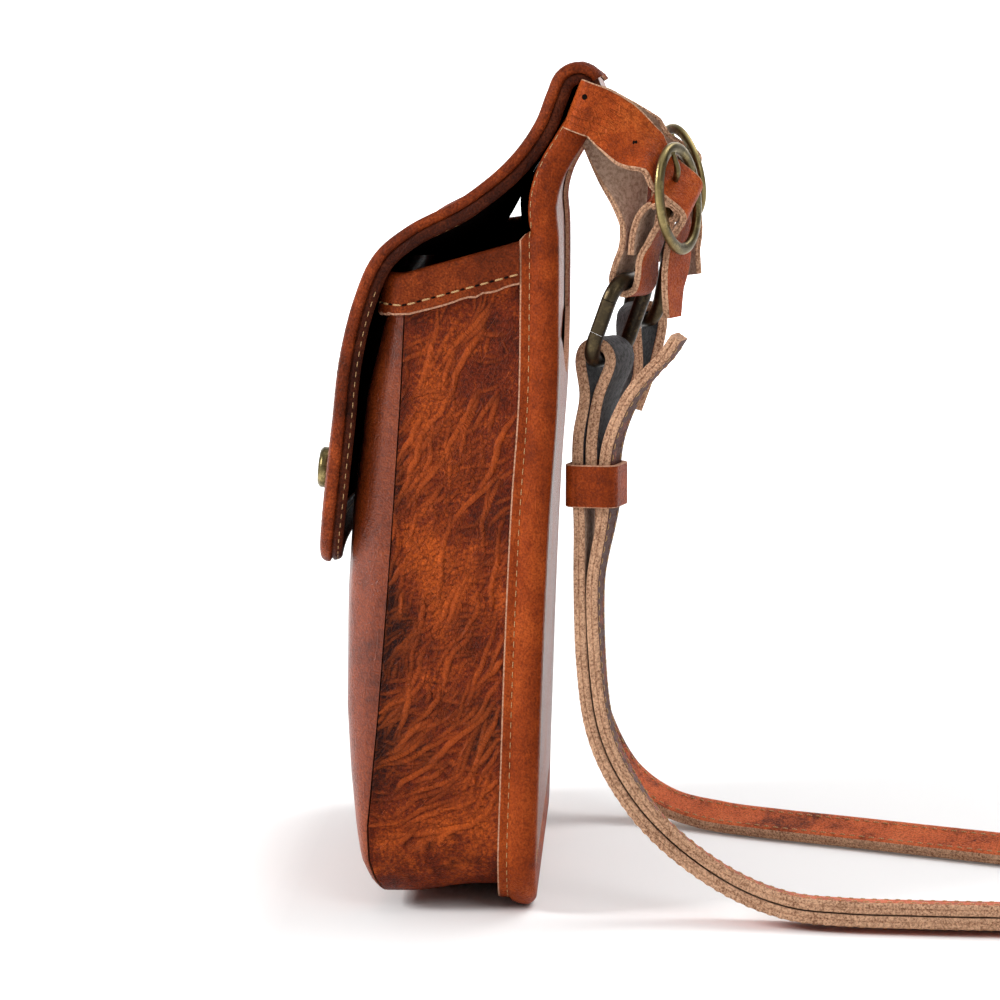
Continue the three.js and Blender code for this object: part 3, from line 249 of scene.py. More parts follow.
# %% [markdown]
# ## Finishes
# The body is one hide with heavy creases on the gusset and a smoother face elsewhere. Bindings, mouth band and
# strap tabs are cut from a smoother, more orange part; the flap binding and the mouth band take a darker copy of
# it as painted shade, and the roll's lower lip a darker one still. Cut edges and flesh sides are pale and
# speckled. The lining is almost black, a strap is painted darker where it hangs as painted shade, and the tabs'
# holes and the needle holes are dark discs and dashes of painted shade. Buckles are antique brass, hooks are
# darker with bright worn edges.

# %% Leather finishes
def open_material(name, **constants):
    """A material with its Principled shader, whose constant sockets are set directly."""
    material = bpy.data.materials.new(name)
    material.use_nodes = True
    shader = material.node_tree.nodes["Principled BSDF"]
    for key, value in constants.items():
        shader.inputs[key.replace("_", " ")].default_value = value
    return material, material.node_tree, shader


def place_group(tree, group, **sockets):
    """Outputs of a group node in a material, its sockets filled by name."""
    return put(tree, "ShaderNodeGroup", sockets, node_tree=group).outputs


def bump(tree, shader, height, distance):
    """Height to the shader's normal, with a distance in metres."""
    node = put(tree, "ShaderNodeBump", {"Height": height, "Distance": distance, "Strength": 1.0})
    tree.links.new(node.outputs["Normal"], shader.inputs["Normal"])


def leather(name, dark, middle, light, patches=28.0, grain=1700.0, crease=0.2, scale=380.0, roughness=(0.36, 0.5),
            shine=0.07, mapped=False):
    """Waxed hide: toned colour, dark pores, pits darkened as painted shade, ridges paled as painted highlight, and a
    bump of all three.

    A mapped hide also has ridges and pits of its own, which its mesh carries as numbers.
    """
    material, tree, shader = open_material(name, Specular_IOR_Level=shine, Coat_Roughness=0.3)
    where = put(tree, "ShaderNodeTexCoord").outputs["Object"]
    lie = put(tree, "ShaderNodeUVMap", uv_map="lie").outputs["UV"]
    burn_and_shade = put(tree, "ShaderNodeAttribute", attribute_name="burn_and_shade").outputs["Fac"]
    toned = place_group(tree, pull_up_tone, Vector=where, Patches=patches, Burn=burn_and_shade,
                        Dark=dark, Middle=middle, Light=light)
    pebbles = place_group(tree, hide_grain, Vector=where, Size=grain)
    folds = place_group(tree, creases, Vector=lie, Scale=scale)
    ridge_and_highlight, pit_and_shade = fine_ridge_and_highlight, fine_pit_and_shade = [math_node(tree, "MULTIPLY", folds[key], crease) for key in ("Ridge_and_highlight", "Pit_and_shade")]
    if mapped:
        fold_and_highlight, hollow_and_shade = (put(tree, "ShaderNodeAttribute", attribute_name=key).outputs["Fac"]
                        for key in ("fold_and_highlight", "hollow_and_shade"))
        ridge_and_highlight = math_node(tree, "MAXIMUM", fold_and_highlight, fine_ridge_and_highlight)
        pit_and_shade = math_node(tree, "MULTIPLY_ADD", hollow_and_shade, 0.9, fine_pit_and_shade)
    colour = mix(tree, math_node(tree, "MULTIPLY", pebbles["Pores"], 0.5), toned["Color"], dark)
    # Pits and hollows darkened here are painted shade; the ridges paled below are painted highlight.
    colour = mix(tree, pit_and_shade, colour, dark)
    colour = mix(tree, math_node(tree, "MULTIPLY", ridge_and_highlight, 0.6), colour, light)
    tree.links.new(colour, shader.inputs["Base Color"])
    gloss = math_node(tree, "MULTIPLY_ADD", pebbles["Pores"], 0.14, ramp(tree, toned["Tone"], 0.35, 0.65, *roughness))
    tree.links.new(math_node(tree, "MULTIPLY_ADD", pit_and_shade, 0.2, gloss), shader.inputs["Roughness"])
    tree.links.new(ramp(tree, ridge_and_highlight, 0.2, 1.0, 0.01, 0.08), shader.inputs["Coat Weight"])
    grained = math_node(tree, "MULTIPLY_ADD", pebbles["Height"], 0.42, fine_ridge_and_highlight)
    bump(tree, shader, math_node(tree, "MULTIPLY_ADD", fine_pit_and_shade, -0.6, grained), 0.0007)
    return material


creased_hide = leather("creased_hide", (0.018, 0.003, 0.002, 1), (0.155, 0.019, 0.004, 1), (0.56, 0.098, 0.012, 1),
                       patches=26.0, crease=0.34, scale=420.0, roughness=(0.34, 0.46), shine=0.09, mapped=True)
front_hide = leather("front_hide", (0.060, 0.010, 0.003, 1), (0.20, 0.031, 0.005, 1), (0.31, 0.058, 0.010, 1),
                     patches=18.0, crease=0.10, scale=200.0, roughness=(0.27, 0.38), shine=0.42)
smooth_hide = leather("smooth_hide", (0.090, 0.013, 0.003, 1), (0.25, 0.037, 0.005, 1), (0.42, 0.076, 0.012, 1),
                      patches=40.0, crease=0.12, scale=260.0)
# A darker copy of the binding hide for the flap roll and the mouth band: painted shade.
edge_hide_in_painted_shade = leather("edge_hide_in_painted_shade", (0.036, 0.007, 0.002, 1), (0.150, 0.022, 0.004, 1), (0.34, 0.060, 0.011, 1),
                    patches=40.0, crease=0.2, scale=300.0)
# A still darker copy for the lower lip of the flap roll: painted shade.
edge_hide_in_deep_painted_shade = leather("edge_hide_in_deep_painted_shade", (0.012, 0.003, 0.002, 1), (0.050, 0.009, 0.003, 1), (0.12, 0.024, 0.007, 1),
                     patches=40.0, crease=0.2, scale=300.0)
tab_hide = leather("tab_hide", (0.14, 0.020, 0.004, 1), (0.38, 0.060, 0.009, 1), (0.60, 0.130, 0.024, 1),
                   patches=60.0, crease=0.35, scale=520.0)
strap_hide = leather("strap_hide", (0.055, 0.012, 0.006, 1), (0.60, 0.120, 0.036, 1), (0.74, 0.185, 0.065, 1),
                     patches=45.0, crease=0.12, scale=260.0, roughness=(0.5, 0.6), shine=0.08)
hides = (creased_hide, front_hide, smooth_hide, edge_hide_in_painted_shade, edge_hide_in_deep_painted_shade, tab_hide, strap_hide)
print("leathers", [m.name for m in hides])

# %% Raw edges and flesh sides
def raw(name, pale, deep, size=1400.0, rough=0.85, shine=0.25):
    """Uncoated leather: pale fibres with darker flecks, quite matt."""
    material, tree, shader = open_material(name, Roughness=rough, Specular_IOR_Level=shine)
    where = put(tree, "ShaderNodeTexCoord").outputs["Object"]
    flecks = place_group(tree, raw_speckle, Vector=where, Size=size, Pale=pale, Deep=deep)
    tree.links.new(flecks["Color"], shader.inputs["Base Color"])
    bump(tree, shader, flecks["Height"], 0.0005)
    return material


cut_edge = raw("cut_edge", (0.56, 0.30, 0.19, 1), (0.30, 0.12, 0.06, 1))
flesh_side = raw("flesh_side", (0.50, 0.34, 0.25, 1), (0.26, 0.16, 0.11, 1), 900.0, 0.95)
strap_edge = raw("strap_edge", (0.66, 0.39, 0.24, 1), (0.19, 0.080, 0.040, 1), 1500.0, 0.9)
dark_flesh = raw("dark_flesh", (0.085, 0.080, 0.085, 1), (0.018, 0.015, 0.016, 1), 800.0, 0.6)
dyed_edge = raw("dyed_edge", (0.16, 0.045, 0.015, 1), (0.06, 0.015, 0.006, 1), 1100.0, 0.6)
lining = raw("lining", (0.010, 0.006, 0.005, 1), (0.003, 0.002, 0.002, 1), 900.0, 1.0, 0.0)
# Near-black finish for the discs and dashes that stand for holes in the tabs and needle holes: painted shade.
painted_hole_shade = raw("painted_hole_shade", (0.008, 0.004, 0.003, 1), (0.003, 0.002, 0.001, 1), 900.0, 0.9, 0.05)
print("raw leathers", [m.name for m in (cut_edge, flesh_side, strap_edge, dark_flesh, dyed_edge, lining, painted_hole_shade)])

# %% Metals and thread
def metal(name, dark, bright, rough, patches):
    """Aged metal: dark patina over brighter metal, rougher where it is dark."""
    material, tree, shader = open_material(name, Metallic=1.0)
    where = put(tree, "ShaderNodeTexCoord").outputs["Object"]
    toned = place_group(tree, pull_up_tone, Vector=where, Patches=patches, Dark=dark, Middle=dark, Light=bright)
    wear = put(tree, "ShaderNodeAttribute", attribute_name="wear").outputs["Fac"]
    tree.links.new(mix(tree, wear, toned["Color"], bright), shader.inputs["Base Color"])
    pits = place_group(tree, hide_grain, Vector=where, Size=2200.0)
    even_gloss = ramp(tree, toned["Tone"], 0.35, 0.65, rough + 0.1, rough)
    gloss = math_node(tree, "MULTIPLY_ADD", pits["Pores"], 0.12, even_gloss)
    tree.links.new(gloss, shader.inputs["Roughness"])
    bump(tree, shader, pits["Height"], 0.00006)
    return material


antique_brass = metal("antique_brass", (0.11, 0.085, 0.036, 1), (0.36, 0.28, 0.12, 1), 0.26, 260.0)
dark_bronze = metal("dark_bronze", (0.030, 0.024, 0.018, 1), (0.11, 0.08, 0.04, 1), 0.28, 240.0)

thread, tree, shader = open_material("waxed_thread", Roughness=0.6)
strands = put(tree, "ShaderNodeTexWave", {"Vector": put(tree, "ShaderNodeUVMap", uv_map="lie").outputs["UV"],
                                          "Scale": 900.0, "Distortion": 1.0}, bands_direction="DIAGONAL")
twist = mix(tree, strands.outputs["Fac"], (0.34, 0.17, 0.06, 1), (0.64, 0.40, 0.18, 1))
tree.links.new(twist, shader.inputs["Base Color"])
bump(tree, shader, strands.outputs["Fac"], 0.0001)
print("metals and thread", antique_brass.name, dark_bronze.name, thread.name)

# %% [markdown]
# ## One way to make every piece
# A leather wall, a strap, a binding and a bent rod are all the same thing to a mesh: a closed outline that is
# carried along a path. So one function takes an array of outlines, one row for each station, joins neighbours
# with quads, closes the ends, and hands the object to the frame. The rest of the file only works out outlines.

# %% Arrays to meshes
def unit(vectors):
    """Vectors of length one."""
    return vectors / np.maximum(np.linalg.norm(vectors, axis=-1, keepdims=True), 1e-12)


def smoothstep(value, low, high):
    """Zero below low, one above high, and a soft S between them."""
    share = np.clip((np.asarray(value, float) - low) / (high - low), 0, 1)
    return share * share * (3 - 2 * share)


def travelled(path):
    """Length along a path up to each of its points."""
    steps = np.linalg.norm(np.diff(path, axis=0), axis=-1)
    return np.concatenate([np.zeros((1,) + steps.shape[1:]), np.cumsum(steps, axis=0)])


def link_piece(name, mesh, finishes, node, body="bag"):
    """Object at the origin with its finishes, riding on a body and standing for a node."""
    piece = bpy.data.objects.new(name, mesh)
    bpy.context.scene.collection.objects.link(piece)
    for finish in finishes:
        mesh.materials.append(finish)
    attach(piece, body)
    if node:
        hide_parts(node)


def write_mesh(name, points, quads, uv, finish, values=None, ends=()):
    """Mesh from arrays in millimetres: faces turned outwards, UV map "lie", finish numbers and values.

    The ends are faces with many corners, which come after the quads.
    """
    corner = points[quads]
    volume = np.einsum("ij,ij->i", corner[:, 0], np.cross(corner[:, 1], corner[:, 2])).sum()
    volume += np.einsum("ij,ij->i", corner[:, 0], np.cross(corner[:, 2], corner[:, 3])).sum()
    if volume < 0:
        quads, ends = quads[:, ::-1], [end[::-1] for end in ends]
    mesh = bpy.data.meshes.new(name)
    mesh.from_pydata(((points + [0, 0, STAND]) * MM).tolist(), [], quads.tolist() + [end.tolist() for end in ends])
    layer = mesh.uv_layers.new(name="lie")
    layer.data.foreach_set("uv", (uv[np.concatenate([quads.ravel(), *ends])] * MM).astype(np.float32).ravel())
    mesh.polygons.foreach_set("material_index", finish.astype(np.int32))
    mesh.polygons.foreach_set("use_smooth", np.ones(len(finish), bool))
    for key, value in (values or {}).items():
        mesh.attributes.new(key, "FLOAT", "POINT").data.foreach_set("value", value.astype(np.float32).ravel())
    mesh.set_sharp_from_angle(angle=math.radians(50))
    mesh.update()
    return mesh


def tube_quads(stations, corners, closed=False):
    """Quads between neighbouring outlines of a run, as rows of four point numbers."""
    i, j = np.meshgrid(np.arange(stations if closed else stations - 1), np.arange(corners), indexing="ij")
    following, beside = (i + 1) % stations, (j + 1) % corners
    quads = np.stack([i * corners + j, i * corners + beside, following * corners + beside, following * corners + j], -1)
    return quads.reshape(-1, 4)


def end_ladders(stations, corners):
    """Ladder-shaped quads that close both ends of a run."""
    rung = np.arange(corners // 2 - 1)
    ladder = np.stack([rung + 1, rung, corners - 1 - rung, corners - 2 - rung], -1)
    return np.vstack([ladder, (ladder + (stations - 1) * corners)[:, ::-1]])


def carried(name, rings, finishes, node=None, body="bag", bands=0, closed=False, cap=0,
            values=None, lie=None, whole_ends=False):
    """Outlines rings[station, corner] joined by quads; open runs get ladder-shaped end faces, or whole ones.

    The UV map "lie" holds the length along the path and the length round the outline, unless lie is given.
    """
    stations, corners = rings.shape[:2]
    quads = tube_quads(stations, corners, closed)
    if lie is None:
        along = np.broadcast_to(travelled(rings.mean(axis=1))[:, None], (stations, corners))
        lie = np.stack([along, travelled(rings.transpose(1, 0, 2)).T], -1)
    finish = np.broadcast_to(bands, (len(quads) // corners, corners)).reshape(-1)
    ends = []
    if whole_ends:
        ends = [np.arange(corners)[::-1], np.arange(corners) + (stations - 1) * corners]
        finish = np.concatenate([finish, [cap, cap]])
    elif not closed:
        ladders = end_ladders(stations, corners)
        quads = np.vstack([quads, ladders])
        finish = np.concatenate([finish, np.full(len(ladders), cap)])
    mesh = write_mesh(name, rings.reshape(-1, 3), quads, lie.reshape(-1, 2), finish, values, ends)
    link_piece(name, mesh, finishes, node, body)
    print(name, len(mesh.polygons), "faces")


def walls(middle, thickness, outward):
    """Outlines of a leather wall: outer face, then inner face backwards, half a thickness off a middle surface."""
    normal = unit(np.cross(np.gradient(middle, axis=1), np.gradient(middle, axis=0)))
    normal *= np.sign((normal * outward).sum(axis=-1).mean())
    half = normal * thickness / 2
    return np.concatenate([middle + half, (middle - half)[:, ::-1]], axis=1)


def wall_bands(outer, inner):
    """Finish numbers round an outline with so many outer and inner points: 0 outside, 1 inside, 2 on both rims."""
    return np.repeat([0, 2, 1, 2], [outer - 1, 1, inner - 1, 1])


def spline(points, steps):
    """Smooth curve through points, with even steps in each span (cubic, spans weighted by root distance)."""
    points = np.asarray(points, float)
    ends = np.vstack([2 * points[0] - points[1], points, 2 * points[-1] - points[-2]])
    a, b, c, d = ends[:-3], ends[1:-2], ends[2:-1], ends[3:]
    first, middle, last = (np.linalg.norm(q - p, axis=1)[:, None] ** 0.5 for p, q in ((a, b), (b, c), (c, d)))
    leave = ((b - a) / first - (c - a) / (first + middle) + (c - b) / middle) * middle
    arrive = ((c - b) / middle - (d - b) / (middle + last) + (d - c) / last) * middle
    t = np.linspace(0, 1, steps, endpoint=False)[None, :, None]
    b, c, leave, arrive = (v[:, None, :] for v in (b, c, leave, arrive))
    run = b + leave * t + (3 * c - 3 * b - 2 * leave - arrive) * t**2 + (2 * b - 2 * c + leave + arrive) * t**3
    return np.vstack([run.reshape(-1, points.shape[1]), points[-1:]])


print("mesh helpers ready")

# %% [markdown]
# ## Back panel and flap
# One piece of leather runs up the back, curls over at the top and comes down in front as the flap. It is a
# surface of two lengths: along the side profile, and across the bag. The outer face is hide, the inner face is
# the dark lining, and its edges disappear in the bindings.

# %% Side profile and panel surface
PROFILE = [
    (20.8, -1.6), (20.9, 14), (21.6, 36), (22.9, 76), (24.8, 117), (26.9, 147), (27.4, 172), (27.4, 196), (26.9, 206),
    (29, 214.5), (33.4, 222.5), (38.6, 231.2), (41.6, 238.4), (40, 242.8), (35.6, 244.5), (31.6, 242.6), (29, 237),
    (25.6, 228.5), (17.4, 217.2), (3.4, 205.8), (-12.4, 197.4), (-21, 190), (-26.6, 177.5), (-30.7, 160.5),
    (-32.9, 140.5), (-35.2, 120), (-36.9, 101.2),
]
PANEL_HALF, PANEL_WAIST, PANEL_CORNER, FLAP_CORNER, FLAP_BULGE = 90.6, 3.0, 19.6, 20.0, 7.0
FLAP_SAG = np.array([
    (0, 2), (20, 2), (34, 3), (42, 6.5), (52, 11.5), (62, 12.6), (70, 10), (76, 6), (81, 2.5), (86, 0)])
BACK_SAG = np.array([(170, 0), (185, 5), (197, 9.5), (206, 9.5), (214, 7), (224, 3), (232, 0)])
LEATHER, SEAM, BAND = 2.0, 0.3, 1.5
profile = spline(PROFILE, 60)
profile_length = travelled(profile)
profile_along = unit(np.gradient(profile, axis=0))
panel_length = profile_length[-1]
fold_length = profile_length[profile[:, 1].argmax()]


def panel_at(length, x):
    """Middle of the panel: the profile at a length, its middle sagging and bulging as a parabola in x.

    The flap sags along its inner normal where it crosses the mouth and stands forward lower down. The top of the
    back leans into the bag, by the cube of the parabola.
    """
    y, z = (np.interp(length, profile_length, profile[:, k]) for k in (0, 1))
    along_y, along_z = (np.interp(length, profile_length, profile_along[:, k]) for k in (0, 1))
    spread = 1 - (x / PANEL_HALF) ** 2
    on_flap = length > fold_length
    belly = FLAP_BULGE * (1 - smoothstep(z, 130, 215)) * smoothstep(z, 84, 120) * spread * on_flap
    sag = np.interp(length - fold_length, FLAP_SAG[:, 0], FLAP_SAG[:, 1]) * spread * on_flap
    lean = np.interp(z, BACK_SAG[:, 0], BACK_SAG[:, 1]) * spread**3 * ~on_flap
    return np.stack(np.broadcast_arrays(x, y - belly - lean - along_z * sag, z + along_y * sag), -1)


def side_half(length):
    """Half the panel's width, drawn in a little at the curl on top."""
    return PANEL_HALF - PANEL_WAIST * smoothstep(np.interp(length, profile_length, profile[:, 1]), 208, 228)


def rounded_off(distance, radius):
    """How far a quarter-circle corner stands in at a distance from the end."""
    return radius - np.sqrt(radius**2 - np.maximum(radius - distance, 0) ** 2)


corner_share = 1 - np.cos(np.linspace(0, np.pi / 2, 12))
panel_rows = np.concatenate([
    PANEL_CORNER * corner_share, np.linspace(PANEL_CORNER, panel_length - FLAP_CORNER, 240)[1:-1],
    (panel_length - FLAP_CORNER * corner_share)[::-1],
])
half = side_half(panel_rows) - rounded_off(panel_rows, PANEL_CORNER)
half = half - rounded_off(panel_length - panel_rows, FLAP_CORNER)
PANEL_COLUMNS = 49
panel_share = np.linspace(-1, 1, PANEL_COLUMNS)
panel_middle = panel_at(panel_rows[:, None], half[:, None] * panel_share[None, :])
outward = np.cross(np.gradient(panel_middle, axis=1), np.gradient(panel_middle, axis=0))
outward *= np.sign(outward[5, PANEL_COLUMNS // 2, 1])
carried("back_and_flap", walls(panel_middle, LEATHER, outward),
        [front_hide, lining, dyed_edge], "back_flap_panel", bands=wall_bands(PANEL_COLUMNS, PANEL_COLUMNS), cap=2)
print("panel length", round(panel_length, 1), "mm")

# %% [markdown]
# ## Bindings
# The flap's edge and the back edge are both wrapped in a folded strip of leather. Its outline is a C: an outer
# line, an inner line and two cut ends. The C is carried round the panel's edge in a frame of its own, which
# points out of the edge and along the panel's normal.

# %% Frames round the panel's edge
def edge_frames(length, x, angle, side, end):
    """Place, direction out of the edge and panel normal; the angle turns from the side edge to the end edge."""
    step = 0.5
    along = unit(panel_at(np.minimum(length + step, panel_length), x) - panel_at(np.maximum(length - step, 0), x))
    wide = unit(panel_at(length, x + step) - panel_at(length, x - step))
    across = wide * (side * np.cos(angle))[:, None] + along * (end * np.sin(angle))[:, None]
    return panel_at(length, x), across, unit(np.cross(along, wide))


def edge_run(side_lengths, corner, end):
    """Frames down one side, round a corner, along the end, round the other corner and up the other side."""
    turn = np.linspace(0, np.pi / 2, 14)[1:]
    limit = panel_length if end > 0 else 0.0
    reach = np.linspace(PANEL_HALF - corner, 0, 40)[1:]
    length = np.concatenate([side_lengths, limit - end * corner * (1 - np.sin(turn)), np.full(len(reach), limit)])
    x = np.concatenate([side_half(side_lengths), PANEL_HALF - corner * (1 - np.cos(turn)), reach])
    angle = np.concatenate([0 * side_lengths, turn, np.full(len(reach), np.pi / 2)])
    length, angle = np.concatenate([length, length[-2::-1]]), np.concatenate([angle, angle[-2::-1]])
    side = np.sign(np.concatenate([x + 1, -x[-2::-1] - 1]))
    return edge_frames(length, np.concatenate([x, -x[-2::-1]]), angle, side, end)


def contour(points, count):
    """Smooth line through a few points of a section, as evenly spaced points."""
    run = spline(points, 12)
    length = travelled(run)
    even = np.linspace(0, length[-1], count)
    return np.stack([np.interp(even, length, run[:, k]) for k in (0, 1)], -1)


def c_section(outer, inner, count):
    """Closed outline of a folded strip: its outer line, then its inner line backwards."""
    return np.concatenate([contour(outer, count), contour(inner, count)[::-1]])


def place_section(at, across, up, section):
    """Section points [across, up] set on every station of a path."""
    section = np.broadcast_to(section, (len(at),) + np.shape(section)[-2:])
    return at[:, None] + across[:, None] * section[..., :1] + up[:, None] * section[..., 1:]


def back_length(height):
    """Length along the back at which the profile reaches a height."""
    rising = profile_length <= fold_length
    return np.interp(height, profile[rising, 1], profile_length[rising])


def back_y(height):
    """Depth of the back panel's middle at a height."""
    return np.interp(back_length(height), profile_length, profile[:, 0])


GRIP, BARE_TO = LEATHER / 2 + SEAM, 238.4
print("edge frames ready, flap binding from", np.round(back_length(BARE_TO), 1), "mm")

# %% Flap binding
ROLL_POINTS = 56
roll = c_section(
    [(-7, 2.2), (-6.5, 2.55), (-4, 2.75), (-1.3, 2.8), (0.8, 2.3), (1.75, 0.9), (1.75, -0.2), (0.75, -0.75),
     (1.4, -1.3), (1.2, -2.6), (0.6, -3.6), (-0.4, -3.9), (-1.6, -3.4), (-4, -2.75), (-6.5, -2.55), (-7, -2.2)],
    [(-7, 1.3), (-3, 1.3), (-0.2, 1.15), (0.3, 0), (-0.2, -1.15), (-3, -1.3), (-7, -1.3)], ROLL_POINTS)
flap_frames = edge_run(np.linspace(back_length(BARE_TO) + 3.6, panel_length - FLAP_CORNER, 130), FLAP_CORNER, 1)
roll_bands = wall_bands(ROLL_POINTS, ROLL_POINTS)
crook = np.argmin(np.linalg.norm(roll[:ROLL_POINTS] - [0.75, -0.75], axis=1))
# From the crook on, the lower lip of the roll takes the darkest copy of its hide: painted shade.
roll_bands[crook:ROLL_POINTS - 1] = 3
carried("flap_roll", place_section(*flap_frames, roll), [edge_hide_in_painted_shade, lining, cut_edge, edge_hide_in_deep_painted_shade], "flap_binding",
        bands=roll_bands, cap=2)

# %% Back binding
WRAP_POINTS = 44
lower_wrap = c_section(
    [(-0.1, -8.4), (0.1, -7.9), (0.2, -6.6), (0.2, -5.4), (1.2, -4.2), (2.0, -2.4), (2.3, -0.6), (1.9, 1.2), (0.4, 2.7),
     (-1.6, 2.95), (-6.6, 2.8), (-7.6, 2.4)],
    [(-1.3, -8.4), (-1.3, -5.6), (0.3, -4.2), (0.5, -2), (0.5, 0.9), (-0.2, 1.3), (-7.6, 1.3)], WRAP_POINTS)
upper_wrap = c_section(
    [(-6, -2.4), (-5.2, -3.4), (-3, -4.6), (-1, -5.3), (0.7, -5.1), (1.7, -3.6), (2.1, -1.6), (1.9, 0.8), (0.5, 2.6),
     (-1.6, 2.85), (-6.6, 2.8), (-7.6, 2.4)],
    [(-6, -1.3), (-3, -1.3), (0.2, -1.25), (0.5, -0.6), (0.5, 0.8), (-0.2, 1.3), (-7.6, 1.3)], WRAP_POINTS)
back_at, back_across, back_up = edge_run(np.linspace(back_length(228.0), PANEL_CORNER, 112), PANEL_CORNER, -1)
back_up = back_up * np.sign(back_up[:, 1:2])
above = smoothstep(back_at[:, 2] - 4.0 * (back_at[:, 0] < 0), 196.5, 200.5)[:, None, None]
wrap_bands = wall_bands(WRAP_POINTS, WRAP_POINTS)
wrap_bands[:1] = 2
carried("back_wrap", place_section(back_at, back_across, back_up, lower_wrap * (1 - above) + upper_wrap * above),
        [smooth_hide, lining, cut_edge], "back_binding", bands=wrap_bands, cap=2)

# %% [markdown]
# ## Gusset and front panel
# The gusset is a long band: down the near side, under the bottom and up the far side. Its leather is deeply
# creased, and the creases change direction: steep near the mouth, nearly level at the bottom. So the piece
# carries its own crease map, two numbers per point that run along and across the creases. On this map some
# hundreds of short strokes are drawn, each a ridge with a hollow along one side. They press the surface in and
# out by about a millimetre, and the finish uses the same numbers to paint the ridges pale, as painted highlight,
# and the hollows dark, as painted shade. The far side repeats the near one on fewer rows.

# %% Gusset: seams, mouth and middle surface
FRONT_SEAM = np.array([
    (0, -20.5, 1.6), (6, -23.6, 1.6), (12, -25.4, 2.0), (22, -25.9, 3.0), (38, -24.4, 6.0), (57, -22.6, 8.8),
    (88, -20.1, 10.5), (117, -18, 10.8), (150, -15.8, 9.2), (173, -14.6, 4.7), (200, -14, 2.4)])
MOUTH_BACK, MOUTH_FRONT, SIDE, SIDE_CORNER = 193.5, 182.0, 88.0, 17.0
FAR_RISE = np.array([(0, 5.0), (0.14, 7.6), (0.25, 8.0), (0.35, 7.6), (0.53, 6.6), (0.7, 5.6), (1, 4)])
rng = np.random.default_rng(7)


def seam_y(height):
    """Depth of the seam between gusset and front panel."""
    return np.interp(height, FRONT_SEAM[:, 0], FRONT_SEAM[:, 1])


def mouth_height(y, side):
    """Height of the gusset's top edge: a straight slope from front to back, with an arch on the far side."""
    low, high = seam_y(MOUTH_FRONT), back_y(MOUTH_BACK)
    arch = np.interp((y - low - 0.15) / (high - low - 1.55), FAR_RISE[:, 0], FAR_RISE[:, 1]) * (side < 0)
    return MOUTH_FRONT + (y - low) * (MOUTH_BACK - MOUTH_FRONT) / (high - low) + arch


SIDE_ROWS, OUTER_COLUMNS, INNER_COLUMNS, FAR_STEP = 460, 110, 12, 3
side_share, side_angle = np.linspace(1, 0, SIDE_ROWS), np.linspace(0, np.pi / 2, 14)[1:]
bottom_x = np.linspace(SIDE - SIDE_CORNER, 0, 26)[1:]
row_share = np.concatenate([side_share, 0 * side_angle, 0 * bottom_x])
row_x = np.concatenate([np.full(SIDE_ROWS, SIDE), SIDE - SIDE_CORNER * (1 - np.cos(side_angle)), bottom_x])
row_lift = np.concatenate([np.full(SIDE_ROWS, SIDE_CORNER), SIDE_CORNER * (1 - np.sin(side_angle)), 0 * bottom_x])
far_rows = np.concatenate([np.arange(len(row_x) - 2, SIDE_ROWS - 1, -1), np.arange(SIDE_ROWS - 1, -1, -FAR_STEP)])
row_share, row_lift = (np.concatenate([v, v[far_rows]])[:, None] for v in (row_share, row_lift))
row_x = np.concatenate([row_x, -row_x[far_rows]])[:, None]


def gusset_at(depth):
    """Middle of the gusset at shares of its depth: sides, rounded corners, and a bottom that sinks to the floor."""
    sunk = smoothstep(np.abs(row_x), 66, 44) * smoothstep(depth, 0, 0.14) * (1 - smoothstep(depth, 0.57, 0.7))
    foot = 1.0 + 2.4 * smoothstep(depth, 0.15, 0.7) * (1 - sunk) - STAND * sunk + row_lift
    front, back = (foot + row_share * (top - foot) for top in (MOUTH_FRONT, MOUTH_BACK))
    guess = seam_y(front) * (1 - depth) + back_y(back) * depth
    z = foot + row_share * (mouth_height(guess, row_x) - foot)
    y = (seam_y(z) + 0.15) * (1 - depth) + (back_y(np.maximum(z, -1.6)) - 1.4) * depth
    return np.stack(np.broadcast_arrays(row_x, y, z), -1)


depth = np.concatenate([np.linspace(0, 0.82, OUTER_COLUMNS - 6), np.linspace(0.82, 1, 7)[1:]])[None, :]
gusset_middle = gusset_at(depth)
_, gusset_y, gusset_z = np.moveaxis(gusset_middle, -1, 0)
print("gusset grid", gusset_y.shape)

# %% Crease map of the gusset
run = travelled(gusset_middle[:, 20])
rise = run[np.abs(row_x[:, 0]) < SIDE - 0.01][0] - run
rise = np.where(row_x[:, 0] < 0, run - run[np.abs(row_x[:, 0]) < SIDE - 0.01][-1], rise)
SLANT_FROM, SLANT_TO, SLANT_COUNT, LATTICE = -600, 250, 900, (97, 89)
slant_at = np.linspace(SLANT_FROM, SLANT_TO, SLANT_COUNT)
slant_step = (SLANT_TO - SLANT_FROM) / (SLANT_COUNT - 1)
slant = np.radians(np.interp(slant_at, [-20, 5, 30, 60, 90, 120, 185], [6, 18, 48, 60, 64, 66, 70]))
across_slant = np.interp(rise, slant_at, np.cumsum(np.cos(slant)) * slant_step)
along_slant = np.interp(rise, slant_at, np.cumsum(np.sin(slant)) * slant_step)
lean = np.interp(rise, slant_at, slant)[:, None]
crease_map = np.stack([along_slant[:, None] + gusset_y * np.cos(lean),
                       across_slant[:, None] - gusset_y * np.sin(lean)], -1)


